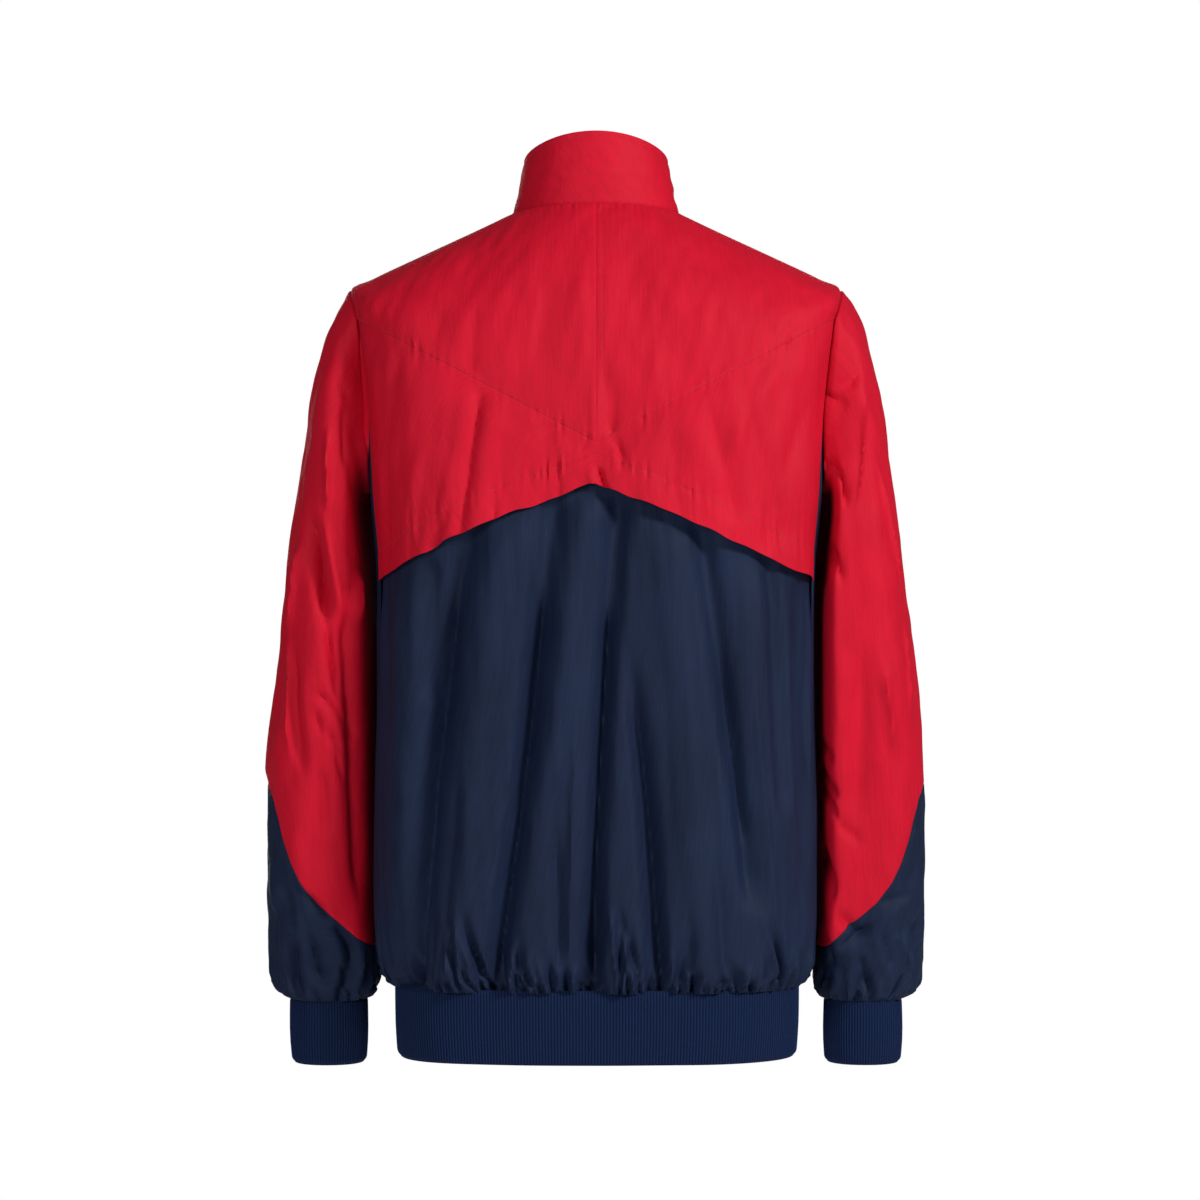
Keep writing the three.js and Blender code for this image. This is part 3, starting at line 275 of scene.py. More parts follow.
# Folds of a sleeve: across is the arc from the outer line in millimetres, to the back where positive
SLEEVE_ARC = 62.0
SLEEVE_FOLDS = {
    Side.LEFT: (
        Fold(64, -104, 140, -218, 4, 9, -7, 1.6, fade_out=0.3),
        Fold(90, -160, 128, -224, 0, 5, -3.5, 1.4, fade_out=0.3),
        Fold(73, -146, 101, -168, 0, 3, -2.2, 1.3, fade_out=0.3),
        Fold(84, -182, 97, -266, 0, 6, 4.5, 1.5, fade_out=0.3),
        Fold(54, -252, 104, -362, 3, 9, -11, 1.5, fade_out=0.3),
        Fold(100, -348, 126, -424, 0, 6, -6, 1.5, fade_out=0.3),
        Fold(88, -256, 128, -368, 2, 9, 5, 1.6, fade_out=0.3),
        Fold(54, -362, 84, -490, -3, 11, -7, 1.6, fade_out=0.3),
        Fold(54, -280, 47, -370, 0, 4, 4.5, 1.2, fade_out=0.3),
        Fold(47, -350, 64, -474, 0, 4, 4.5, 1.2, fade_out=0.3),
        Fold(30, -290, 36, -470, 0, 9, -4, 1.6, fade_out=0.3),
        Fold(152, -306, 147, -356, 0, 8, 4, 1.6, fade_out=0.3),
        Fold(126, -330, 158, -600, 3, 14, -8, 1.8, fade_in=0.15, fade_out=0.2),
        Fold(-76, -300, -50, -600, 0, 17, -5, fade_out=0.3),
        Fold(-110, -240, -84, -420, 0, 10, -6, 1.6, fade_out=0.3),
        Fold(89, -410, 136, -441, 3, 4, -3.8, 1.4, fade_out=0.3),
        Fold(108, -442, 130, -463, 0, 3.5, -3.4, 1.4, fade_out=0.3),
        Fold(94, -424, 104, -450, 0, 3.5, -2.4, 1.4, fade_out=0.3),
        Fold(120, -462, 132, -486, 0, 3.5, -2.6, 1.4, fade_out=0.3),
        Fold(138, -430, 156, -452, 0, 4, -3, 1.4, fade_out=0.3),
        Fold(104, -470, 112, -540, 0, 9, -3.5, 1.6, fade_out=0.3),
        Fold(82, -582, 112, -611, 3, 4.5, -4.5, 1.4, fade_out=0.3),
        Fold(70, -618, 58, -672, 0, 6, -5, 1.5, fade_out=0.3),
        Fold(88, -612, 98, -668, 0, 6, -4.5, 1.5, fade_out=0.3),
        Fold(116, -606, 146, -640, 0, 5, -4, 1.5, fade_out=0.3),
        Fold(40, -590, 30, -668, 0, 7, -4, 1.5, fade_out=0.3),
        Fold(120, -638, 134, -674, 0, 5, -3.6, 1.5, fade_out=0.3),
        Fold(-40, -590, -60, -660, 0, 6, -4, 1.5, fade_out=0.3),
        Fold(-96, -600, -70, -640, 0, 5, -4, 1.5, fade_out=0.3),
    ),
    Side.RIGHT: (
        Fold(50, -84, 104, -164, -3, 3, 1.8, 1.3, fade_out=0.3),
        Fold(98, -156, 60, -136, 2, 3.4, -3.4, 1.3, fade_out=0.3),
        Fold(103, -156, 98, -172, 0, 3, -2.6, 1.3, fade_out=0.3),
        Fold(156, -214, 122, -256, 0, 8, -5, 1.6, fade_out=0.3),
        Fold(180, -284, 124, -318, 0, 8, -5, 1.6, fade_out=0.3),
        Fold(62, -146, 112, -266, 3, 2.6, 2.4, 1.2, fade_out=0.3),
        Fold(66, -206, 38, -342, 0, 2.6, 2.4, 1.2, fade_out=0.3),
        Fold(40, -340, 50, -440, 0, 3, 2.2, 1.2, fade_out=0.3),
        Fold(84, -384, 74, -474, 0, 5, 3.6, 1.3, fade_out=0.3),
        Fold(110, -360, 122, -540, 0, 14, -4, fade_out=0.3),
        Fold(-65, -260, -93, -560, 0, 17, -5, fade_out=0.3),
        Fold(-106, -230, -80, -400, 0, 10, -6, 1.6, fade_out=0.3),
        Fold(196, -468, 138, -502, 4, 4.5, -5, 1.4, fade_out=0.3),
        Fold(192, -488, 142, -520, 0, 4, -4.5, 1.4, fade_out=0.3),
        Fold(188, -452, 152, -470, 0, 4, -3.4, 1.4, fade_out=0.3),
        Fold(150, -520, 112, -540, 0, 5, -3, 1.5, fade_out=0.3),
        Fold(196, -538, 146, -588, 0, 8, -8, 1.5, fade_out=0.3),
        Fold(150, -596, 104, -622, 0, 5, -4.5, 1.5, fade_out=0.3),
        Fold(148, -632, 90, -604, 0, 4.5, -4, 1.4, fade_out=0.3),
        Fold(180, -612, 140, -650, 0, 5, -4.5, 1.5, fade_out=0.3),
        Fold(118, -630, 94, -672, 0, 5, -4.5, 1.5, fade_out=0.3),
        Fold(96, -590, 50, -584, 0, 4.5, -3.4, 1.5, fade_out=0.3),
        Fold(90, -610, 72, -650, 0, 5, -4, 1.4, fade_out=0.3),
        Fold(73, -612, 53, -660, 0, 3, 4, 1.2, fade_out=0.3),
        Fold(42, -596, 30, -668, 0, 6, -4, 1.5, fade_out=0.3),
        Fold(-40, -590, -64, -656, 0, 6, -4, 1.5, fade_out=0.3),
        Fold(-100, -606, -70, -636, 0, 5, -4, 1.5, fade_out=0.3),
    ),
}
SLEEVE_CORNER = {Side.LEFT: 10.0, Side.RIGHT: 30.0}

RIB_PITCH = 2.4
HEM_RIBS = 380
CUFF_RIBS = 94


def ease(start: float, end: float, value: np.ndarray) -> np.ndarray:
    """Rises smoothly from 0 at start to 1 at end.

    Args:
        start: Value where the rise begins.
        end: Value where it has ended.
        value: Values to ease.

    Returns:
        The eased shares.
    """
    share = np.clip((value - start) / (end - start), 0, 1)
    return share * share * (3 - 2 * share)


def ring_rows(rings: Sequence[TorsoRing | ArmRing]) -> np.ndarray:
    """Turns rings into an array of rows and named columns."""
    names = [field.name for field in fields(rings[0])]
    return np.array([[getattr(ring, name) for name in names] for ring in rings], dtype=float)


def blend_rows(rows: np.ndarray, place: np.ndarray) -> np.ndarray:
    """Smooth curves through the rows of a table that never swing past them.

    Args:
        rows: The table, one row a ring.
        place: Places between the rows, from 0 to the last row's number.

    Returns:
        The blended columns, on a new last axis.
    """
    steps = np.diff(rows, axis=0)
    product = steps[:-1] * steps[1:]
    total = np.where(product > 0, steps[:-1] + steps[1:], 1)
    inner = np.where(product > 0, 2 * product / total, 0)
    slopes = np.concatenate([steps[:1], inner, steps[-1:]])
    place = np.clip(place, 0, len(rows) - 1)
    row = np.minimum(place.astype(int), len(rows) - 2)
    part = (place - row)[..., None]
    square, cube = part**2, part**3
    return (
        rows[row] * (2 * cube - 3 * square + 1)
        + slopes[row] * (cube - 2 * square + part)
        + rows[row + 1] * (3 * square - 2 * cube)
        + slopes[row + 1] * (cube - square)
    )


def ring_reach(sine: np.ndarray, cosine: np.ndarray, squareness: np.ndarray) -> np.ndarray:
    """Share of the way out to a squared oval in a direction."""
    return (np.abs(sine) ** squareness + np.abs(cosine) ** squareness) ** (-1 / squareness)


class TorsoForm:
    """The shape of the body, the collar or the hem band, made of rings."""

    def __init__(self, rings: Sequence[TorsoRing]) -> None:
        """Keeps the rings as a table."""
        self.rows = ring_rows(rings)
        self.last = len(rings) - 1

    def points(self, angle: np.ndarray, level: np.ndarray) -> np.ndarray:
        """Points of the form in millimetres.

        Args:
            angle: Angles round the body in degrees.
            level: Ring levels.

        Returns:
            The points, on a new last axis.
        """
        half_width, back, front, z_back, z_side, z_front, squareness = np.moveaxis(
            blend_rows(self.rows, level), -1, 0
        )
        sine, cosine = np.sin(np.radians(angle)), np.cos(np.radians(angle))
        reach = ring_reach(sine, cosine, squareness)
        share = reach * np.abs(cosine)
        depth = np.where(cosine >= 0, back, front)
        height = np.where(cosine >= 0, z_back, z_front)
        z = z_side + (height - z_side) * share**SHOULDER_ARCH
        return np.stack([half_width * reach * sine, depth * share, z], axis=-1)

    def beside_zip(self, angle: np.ndarray, level: np.ndarray) -> np.ndarray:
        """Turns front angles back from the centre, so that an edge lies beside the zip's tape.

        Args:
            angle: Angles in degrees, 180 or -180 at the centre front.
            level: Ring levels.

        Returns:
            The turned angles.
        """
        half_width = blend_rows(self.rows, level)[..., 0]
        turned = np.degrees(np.arcsin((ZIP_HALF_WIDTH + 2 * HALF_SEAM) / half_width))
        share = np.clip((np.abs(angle) - ARMHOLE_FRONT) / (HALF_TURN - ARMHOLE_FRONT), 0, 1)
        return angle - np.sign(angle) * share * turned

    def level_where(self, angle: np.ndarray, is_below: Callable[[np.ndarray], np.ndarray]) -> np.ndarray:
        """Level at which each angle's line down the form first meets a condition.

        Args:
            angle: Angles in degrees.
            is_below: Tells for points whether they lie past the wanted line.

        Returns:
            One level for each angle.
        """
        above, below = np.zeros_like(angle), np.full_like(angle, self.last)
        for _ in range(36):
            middle = (above + below) / 2
            past = is_below(self.points(angle, middle))
            below = np.where(past, middle, below)
            above = np.where(past, above, middle)
        return (above + below) / 2


BODY = TorsoForm(BODY_RINGS)
COLLAR = TorsoForm(COLLAR_RINGS)
HEM = TorsoForm(HEM_RINGS)


@dataclass(frozen=True)
class Armhole:
    """The edge of an armhole: a top arc, a straight front, a bottom arc and a straight back."""

    arc: float = 10.0
    straight: float = 3.0

    @property
    def steps(self) -> float:
        """Steps all the way round the edge."""
        return 2 * (self.arc + self.straight)

    def edge(self, step: np.ndarray) -> tuple[np.ndarray, np.ndarray]:
        """Angles and levels at steps round the edge, from the back end of the top arc.

        Args:
            step: Steps round the edge.

        Returns:
            The angles in degrees, and the levels.
        """
        place = np.mod(step, self.steps)
        front_end = self.arc + self.straight
        top_turn = np.pi * np.clip(place / self.arc, 0, 1)
        low_turn = np.pi * np.clip((place - front_end) / self.arc, 0, 1)
        front = np.clip((place - self.arc) / self.straight, 0, 1)
        back = np.clip((place - front_end - self.arc) / self.straight, 0, 1)
        top = ARMHOLE_TOP_END + (ARMHOLE_TOP - ARMHOLE_TOP_END) * np.sin(top_turn)
        low = ARMHOLE_BOTTOM_START + (ARMHOLE_BOTTOM - ARMHOLE_BOTTOM_START) * np.sin(low_turn)
        down = ARMHOLE_TOP_END + (ARMHOLE_BOTTOM_START - ARMHOLE_TOP_END) * front
        up = ARMHOLE_BOTTOM_START + (ARMHOLE_TOP_END - ARMHOLE_BOTTOM_START) * back
        parts = [place <= self.arc, place <= front_end, place <= front_end + self.arc]
        angle = np.select(
            parts,
            [
                ARMHOLE_MIDDLE - ARMHOLE_REACH * np.cos(top_turn),
                np.full_like(place, ARMHOLE_FRONT),
                ARMHOLE_MIDDLE + ARMHOLE_REACH * np.cos(low_turn),
            ],
            SIDE_SEAM,
        )
        return angle, np.select(parts, [top, down, low], up)


ARMHOLE = Armhole()
SHOULDER_SEAM_STEP = 8.0


class ArmForm:
    """The shape of a cuff, or of a sleeve that starts from the armhole's edge."""

    def __init__(self, rings: Sequence[ArmRing], from_armhole: bool = False) -> None:
        """Keeps the rings, and fits the first one to the armhole where asked.

        Args:
            rings: The rings from top to bottom.
            from_armhole: Whether steps count round the armhole's edge.
        """
        self.rows = ring_rows(rings)
        self.last = len(rings) - 1
        self.from_armhole = from_armhole

    def ring_points(self, turn: np.ndarray, place: np.ndarray) -> np.ndarray:
        """Points of the plain rings: turn 0 is the outer line and a quarter turn the back."""
        outer_x, outer_z, inner_x, inner_z, front, back, squareness = np.moveaxis(
            blend_rows(self.rows, place), -1, 0
        )
        sine, cosine = np.sin(turn), np.cos(turn)
        reach = ring_reach(sine, cosine, squareness)
        out = (1 + reach * cosine) / 2
        y = (front + back) / 2 + reach * sine * (back - front) / 2
        return np.stack([inner_x + (outer_x - inner_x) * out, y, inner_z + (outer_z - inner_z) * out], axis=-1)

    def step_turns(self, step: np.ndarray) -> tuple[np.ndarray, np.ndarray, np.ndarray]:
        """Where steps round the armhole lie on the first ring.

        Args:
            step: Steps round the armhole's edge.

        Returns:
            The turns, what is left between ring and edge, and the share of the way out.
        """
        angle, level = ARMHOLE.edge(step)
        corner = BODY.points(angle, level)
        middle = BODY.points(np.array(ARMHOLE_MIDDLE), np.array((ARMHOLE_TOP + ARMHOLE_BOTTOM) / 2))
        inwards = middle - corner
        start = corner + 2 * HALF_SEAM * inwards / np.linalg.norm(inwards, axis=-1, keepdims=True)
        outer_x, outer_z, inner_x, inner_z, front, back, squareness = self.rows[0]
        half = np.array([(outer_x - inner_x) / 2, (outer_z - inner_z) / 2])
        centre = np.array([(outer_x + inner_x) / 2, (outer_z + inner_z) / 2])
        out = (start[..., [0, 2]] - centre) @ half / (half @ half)
        depth = (start[..., 1] - (front + back) / 2) / ((back - front) / 2)
        turn = np.arctan2(depth, out)
        rest = start - self.ring_points(turn, np.zeros_like(turn))
        reach = ring_reach(np.sin(turn), np.cos(turn), np.array(squareness))
        return turn, rest, reach * np.cos(turn)

    def points(self, step: np.ndarray, place: np.ndarray) -> np.ndarray:
        """Points of the form at steps round it and places down it, in millimetres."""
        if not self.from_armhole:
            return self.ring_points(step, place)
        turn, rest, _ = self.step_turns(step)
        fade = 1 - ease(0, SLEEVE_BLEND_END, place)
        return self.ring_points(turn, place) + rest * fade[..., None]

    def seam_place(self, step: np.ndarray) -> np.ndarray:
        """Place of the colour seam at each step round the sleeve."""
        _, _, out = self.step_turns(step)
        height = np.interp(out, SLEEVE_SEAM_SHARES, SLEEVE_SEAM_HEIGHTS)
        above, below = np.zeros_like(step), np.full_like(step, self.last)
        for _ in range(36):
            middle = (above + below) / 2
            past = self.points(step, middle)[..., 2] < height
            below = np.where(past, middle, below)
            above = np.where(past, above, middle)
        return (above + below) / 2


SLEEVE = ArmForm(SLEEVE_RINGS, from_armhole=True)
CUFF = ArmForm(CUFF_RINGS)


def fold_depth(folds: Iterable[Fold], x: np.ndarray, z: np.ndarray) -> np.ndarray:
    """Depth of all soft folds of a table.

    Args:
        folds: The table.
        x: Places across.
        z: Heights.

    Returns:
        The lift that the folds give at each place, in millimetres.
    """
    total = np.zeros_like(x)
    for fold in folds:
        length = math.hypot(fold.end_x - fold.start_x, fold.end_z - fold.start_z)
        along_x = (fold.end_x - fold.start_x) / length
        along_z = (fold.end_z - fold.start_z) / length
        along = ((x - fold.start_x) * along_x + (z - fold.start_z) * along_z) / length
        across = (fold.start_x - x) * along_z + (z - fold.start_z) * along_x
        offset = np.abs(across - fold.bow * 4 * along * (1 - along)) / fold.half_width
        ends = ease(0, fold.fade_in, along) * ease(0, fold.fade_out, 1 - along)
        total += fold.depth * ends * np.exp(-(offset**fold.sharpness))
    return total


def crumple(points: np.ndarray, size: float, seed: int, upright: float = 1.0) -> np.ndarray:
    """Soft random relief about one unit high, the same on every piece that meets.

    Args:
        points: Points in millimetres.
        size: Usual width of a swell in millimetres.
        seed: Seed of the random waves.
        upright: How many times longer a swell is in height than across.

    Returns:
        The relief at each point.
    """
    waves = 22
    random = np.random.default_rng(seed)
    total = np.zeros(points.shape[:-1])
    squeezed = points * np.array([1, 1, 1 / upright])
    for _ in range(waves):
        direction = random.normal(size=3)
        direction *= 2 * np.pi / (np.linalg.norm(direction) * size * random.uniform(0.9, 2.6))
        total += np.sin(squeezed @ direction + random.uniform(0, 2 * np.pi))
    return total / math.sqrt(waves)


def ripple(along: np.ndarray, lengths: Sequence[float], seed: int) -> np.ndarray:
    """Uneven waves along a seam, about one unit high."""
    random = np.random.default_rng(seed)
    waves = [np.sin(2 * np.pi * along / length + random.uniform(0, 2 * np.pi)) for length in lengths]
    return sum(waves) / len(lengths) ** 0.7


def spaced(length: float, spacing: float, start: Sequence[float], end: Sequence[float]) -> np.ndarray:
    """Shares of a length with an even spacing and closer lines near its two ends.

    Args:
        length: The length in millimetres.
        spacing: Even spacing in millimetres.
        start: Distances of the closer lines from the start.
        end: Distances of the closer lines from the end.

    Returns:
        The shares from 0 to 1.
    """
    low, high = max(start), length - max(end)
    middle = np.linspace(low, high, max(int((high - low) / spacing), 2) + 1)
    return np.unique(np.concatenate([start, middle, length - np.array(end)])) / length


SEWN = (0, 0.6, 1.4, 2.6, 4.2, 5.4, 6.2, 7.2, 9)
PLAIN = (0, 0.8, 2, 4)
HEMMED = (0, 0.5, 1.4, 3.5, 7, 11, 15, 19, 21.5, 23, 24, 25, 26.5, 29)
GATHERED = (0, 0.6, 1.4, 2.6, 4.2, 6, 8.5, 11, 13.5, 16, 19, 22, 25.5, 29.5, 34)


class Cloth:
    """A grid of points on a form that is lifted into folds and then laid as a thin sheet."""

    def __init__(self, points: np.ndarray, closed: bool = False, mirrored: bool = False) -> None:
        """Measures the grid.

        Args:
            points: Points in millimetres, rows going down and columns going round.
            closed: Whether the last column meets the first.
            mirrored: Whether the columns go round the other way, as on the wearer's right side.
        """
        self.points = points
        self.closed = closed
        self.mirrored = mirrored
        self.lift = np.zeros(points.shape[:2])
        self.level = np.zeros(points.shape[:2])
        down = np.linalg.norm(np.diff(points, axis=0), axis=-1)
        across = np.linalg.norm(np.diff(points, axis=1), axis=-1)
        self.down = np.concatenate([np.zeros((1, points.shape[1])), np.cumsum(down, axis=0)])
        self.across = np.concatenate([np.zeros((points.shape[0], 1)), np.cumsum(across, axis=1)], axis=1)
        self.up = self.down[-1:] - self.down
        self.back_across = self.across[:, -1:] - self.across

    @property
    def x(self) -> np.ndarray:
        """Places across, seen from behind or in front."""
        return self.points[..., 0]

    @property
    def z(self) -> np.ndarray:
        """Heights."""
        return self.points[..., 2]

    def normals(self) -> np.ndarray:
        """Directions out of the cloth at each point."""
        padded = self.points
        if self.closed:
            padded = np.concatenate([padded[:, -2:-1], padded, padded[:, 1:2]], axis=1)
        down = np.gradient(padded, axis=0)
        across = np.gradient(padded, axis=1)
        if self.closed:
            down, across = down[:, 1:-1], across[:, 1:-1]
        normal = np.cross(across, down) * (-1 if self.mirrored else 1)
        return normal / np.linalg.norm(normal, axis=-1, keepdims=True)

    def laid(self) -> np.ndarray:
        """The points with their lift, in millimetres, kept level where they are gathered."""
        directions = self.normals()
        directions[..., 2] *= 1 - self.level
        return self.points + directions * self.lift[..., None]

    def sew_edges(self, depth: float, *edges: np.ndarray) -> None:
        """Rolls the cloth inwards along sewn edges.

        Args:
            depth: Depth of the roll in millimetres.
            edges: Distances from each edge.
        """
        for edge in edges:
            self.lift -= depth * np.exp(-((edge / 1.0) ** 2))

    def tuck_row(self, row: int, inner: int, depth: float, reach: float = 1.2) -> None:
        """Runs an edge row on under the neighbouring cloth, so that no slit shows at the seam.

        Args:
            row: The edge row.
            inner: A row inside it, which gives the direction.
            depth: How far below the form the row ends, in millimetres.
            reach: How far it runs on, as a share of the way between the rows.
        """
        self.points[row] += (self.points[row] - self.points[inner]) * reach
        self.lift[row] = -depth

    def calm(self, room: float, *edges: np.ndarray) -> np.ndarray:
        """Share of a fold's height that is left near sewn edges, 0 on them and 1 away from them."""
        share = np.ones_like(self.lift)
        for edge in edges:
            share = share * ease(0, room, edge)
        return share

    def trace(self, edge: np.ndarray, distance: float, sideways: bool = False) -> tuple[np.ndarray, np.ndarray]:
        """Points and outward directions of a line beside an edge.

        Args:
            edge: Distances of the grid's points from the edge.
            distance: Distance of the line.
            sideways: Whether the edge is a side of the grid, and not its top or bottom.

        Returns:
            The line's points in millimetres and its directions.
        """
        laid, normals = self.laid(), self.normals()
        if sideways:
            edge, laid, normals = edge.T, laid.transpose(1, 0, 2), normals.transpose(1, 0, 2)
        lines = []
        for grid in (laid, normals):
            line = [
                [np.interp(distance, *self.rising(edge[:, i], grid[:, i, k])) for k in range(3)]
                for i in range(edge.shape[1])
            ]
            lines.append(np.array(line))
        return lines[0], lines[1]

    @staticmethod
    def rising(keys: np.ndarray, values: np.ndarray) -> tuple[np.ndarray, np.ndarray]:
        """Keys and values in rising order of the keys."""
        return (keys, values) if keys[0] < keys[-1] else (keys[::-1], values[::-1])

    def topstitch(self, edge: np.ndarray, distance: float, depth: float = 0.35) -> None:
        """Presses a line of sewing into the cloth at a distance from an edge."""
        self.lift -= depth * np.exp(-(((edge - distance) / 0.9) ** 2))

    def pucker(self, edge: np.ndarray, along: np.ndarray, depth: float, reach: float, seed: int) -> None:
        """Raises short ripples across a seam.

        Args:
            edge: Distances from the seam.
            along: Places along the seam.
            depth: Height of the ripples in millimetres.
            reach: How far they run into the cloth.
            seed: Seed of the ripples.
        """
        strength = np.clip(0.8 + 0.7 * ripple(along, (61, 97), seed + 1), 0.15, 2)
        length = reach * np.clip(1 + 0.6 * ripple(along, (23, 41), seed + 2), 0.4, 2)
        waves = ripple(along, (5.2, 7.4, 10.8), seed)
        self.lift += depth * waves * strength * np.exp(-((np.abs(edge) / length) ** 1.4))


def select_only(piece: bpy.types.Object) -> None:
    """Makes one object the only selected and active one."""
    bpy.ops.object.select_all(action="DESELECT")
    piece.select_set(True)
    bpy.context.view_layer.objects.active = piece


def apply_modifier(piece: bpy.types.Object, kind: str, **settings: object) -> None:
    """Adds a modifier with its settings and applies it.

    Args:
        piece: The object.
        kind: Blender's name of the modifier.
        settings: Its properties.
    """
    select_only(piece)
    modifier = piece.modifiers.new(kind.title(), kind)
    for name, value in settings.items():
        setattr(modifier, name, value)
    bpy.ops.object.modifier_apply(modifier=modifier.name)


def smooth(piece: bpy.types.Object, degrees: float = 40) -> None:
    """Shades a piece smooth but for edges sharper than an angle."""
    select_only(piece)
    bpy.ops.object.shade_smooth_by_angle(angle=math.radians(degrees))


def copy_to(piece: bpy.types.Object, frames: np.ndarray) -> None:
    """Puts a copy of a piece modelled in millimetres at every place.

    Args:
        piece: The piece, which then holds all its copies.
        frames: For each copy its three axes and its middle, in millimetres.
    """
    corners = np.array([vertex.co for vertex in piece.data.vertices])
    faces = [list(polygon.vertices) for polygon in piece.data.polygons]
    points = np.einsum("vk,nkj->nvj", corners, frames[:, :3]) + frames[:, 3:4]
    count = len(corners)
    all_faces = [[corner + count * index for corner in face] for index in range(len(frames)) for face in faces]
    mesh = bpy.data.meshes.new(piece.name)
    mesh.from_pydata((points.reshape(-1, 3) * MM).tolist(), [], all_faces)
    piece.data = mesh


def add_block(low: Sequence[float], high: Sequence[float]) -> bpy.types.Object:
    """Places a cube and stretches it between two corners, in millimetres."""
    bpy.ops.object.select_all(action="DESELECT")
    bpy.ops.mesh.primitive_cube_add(size=1)
    size = [top - bottom for bottom, top in zip(low, high)]
    middle = [(top + bottom) / 2 for bottom, top in zip(low, high)]
    bpy.ops.object.mode_set(mode="EDIT")
    bpy.ops.mesh.select_all(action="SELECT")
    bpy.ops.transform.resize(value=size, center_override=(0, 0, 0))
    bpy.ops.transform.translate(value=middle)
    bpy.ops.object.mode_set(mode="OBJECT")
    return bpy.context.object


def add_bar(radius: float, half_length: float, sides: int = 24, fill: str = "NGON") -> bpy.types.Object:
    """Places a cylinder along X through the origin, in millimetres."""
    bpy.ops.object.select_all(action="DESELECT")
    bpy.ops.mesh.primitive_cylinder_add(vertices=sides, radius=radius, depth=2 * half_length, end_fill_type=fill)
    bpy.ops.object.mode_set(mode="EDIT")
    bpy.ops.mesh.select_all(action="SELECT")
    bpy.ops.transform.rotate(value=math.pi / 2, orient_axis="Y", center_override=(0, 0, 0))
    bpy.ops.object.mode_set(mode="OBJECT")
    return bpy.context.object


def pick_faces(piece: bpy.types.Object, wanted: Callable[[Vector], bool]) -> None:
    """Enters edit mode with the faces selected whose middles are wanted."""
    if bpy.context.mode != "OBJECT":
        bpy.ops.object.mode_set(mode="OBJECT")
    select_only(piece)
    bpy.ops.object.mode_set(mode="EDIT")
    bpy.ops.mesh.select_mode(type="FACE")
    bpy.ops.mesh.select_all(action="DESELECT")
    bpy.ops.object.mode_set(mode="OBJECT")
    for polygon in piece.data.polygons:
        polygon.select = wanted(polygon.center)
    bpy.ops.object.mode_set(mode="EDIT")


def extrude(shift: Sequence[float], scale: Sequence[float] = (1, 1, 1)) -> None:
    """Extrudes the selected faces by a shift and then scales them about their middle."""
    bpy.ops.mesh.extrude_region_move(TRANSFORM_OT_translate={"value": tuple(shift)})
    bpy.ops.transform.resize(value=tuple(scale))


def join(pieces: Sequence[bpy.types.Object]) -> bpy.types.Object:
    """Joins pieces into the first one."""
    select_only(pieces[0])
    for piece in pieces[1:]:
        piece.select_set(True)
    bpy.ops.object.join()
    return pieces[0]


@dataclass
class Dressing:
    """How a finished piece is joined to the frame."""

    name: str
    nodes: tuple[str, ...]
    slot: str
    material: bpy.types.Material
    body: str = "jacket"

    def put_on(self, piece: bpy.types.Object) -> bpy.types.Object:
        """Names, dresses and fastens a piece.

        Args:
            piece: The finished object.

        Returns:
            The same object.
        """
        piece.name = self.name
        piece.data.name = self.name
        piece.data.materials.clear()
        piece.data.materials.append(self.material)
        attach(piece, self.body)
        if self.nodes:
            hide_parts(*self.nodes)
        LOG.info("%s: %d faces", self.name, len(piece.data.polygons))
        return piece


def lay_sheet(cloth: Cloth, thickness: float, dressing: Dressing, inner: np.ndarray | None = None) -> bpy.types.Object:
    """Lays a grid primitive on a cloth's points and gives it its thickness.

    Args:
        cloth: The lifted cloth.
        thickness: Thickness in millimetres.
        dressing: How the piece is joined to the frame.
        inner: Not used; meant for points of a plain inner skin, where the cloth's outside alone is ribbed.

    Returns:
        The finished sheet.
    """
    laid = cloth.laid() * MM
    rows, columns = laid.shape[:2]
    bpy.ops.object.select_all(action="DESELECT")
    bpy.ops.mesh.primitive_grid_add(x_subdivisions=columns - 1, y_subdivisions=rows - 1, size=2, calc_uvs=True)
    piece = bpy.context.object
    mesh = piece.data
    flat = np.empty(len(mesh.vertices) * 3)
    mesh.vertices.foreach_get("co", flat)
    flat = flat.reshape(-1, 3)
    column = np.rint((flat[:, 0] + 1) / 2 * (columns - 1)).astype(int)
    row = np.rint((1 - flat[:, 1]) / 2 * (rows - 1)).astype(int)
    mesh.vertices.foreach_set("co", laid[row, column].ravel())
    corners = np.empty(len(mesh.loops), dtype=int)
    mesh.loops.foreach_get("vertex_index", corners)
    along = np.stack([cloth.across, -cloth.down], axis=-1) * MM
    mesh.uv_layers.active.data.foreach_set("uv", along[row[corners], column[corners]].ravel())
    mesh.update()
    outwards = cloth.normals()[rows // 2, columns // 2]
    middle = int(np.argmin(np.linalg.norm(laid[row, column] - laid[rows // 2, columns // 2], axis=-1)))
    if mesh.vertices[middle].normal.dot(Vector(outwards)) < 0:
        select_only(piece)
        bpy.ops.object.mode_set(mode="EDIT")
        bpy.ops.mesh.select_all(action="SELECT")
        bpy.ops.mesh.flip_normals()
        bpy.ops.object.mode_set(mode="OBJECT")
    if cloth.closed:
        select_only(piece)
        bpy.ops.object.mode_set(mode="EDIT")
        bpy.ops.mesh.select_all(action="SELECT")
        bpy.ops.mesh.remove_doubles(threshold=1e-6)
        bpy.ops.object.mode_set(mode="OBJECT")
    apply_modifier(piece, "SOLIDIFY", thickness=thickness * MM, offset=-1, use_rim=True)
    smooth(piece)
    dressing.put_on(piece)
    return piece


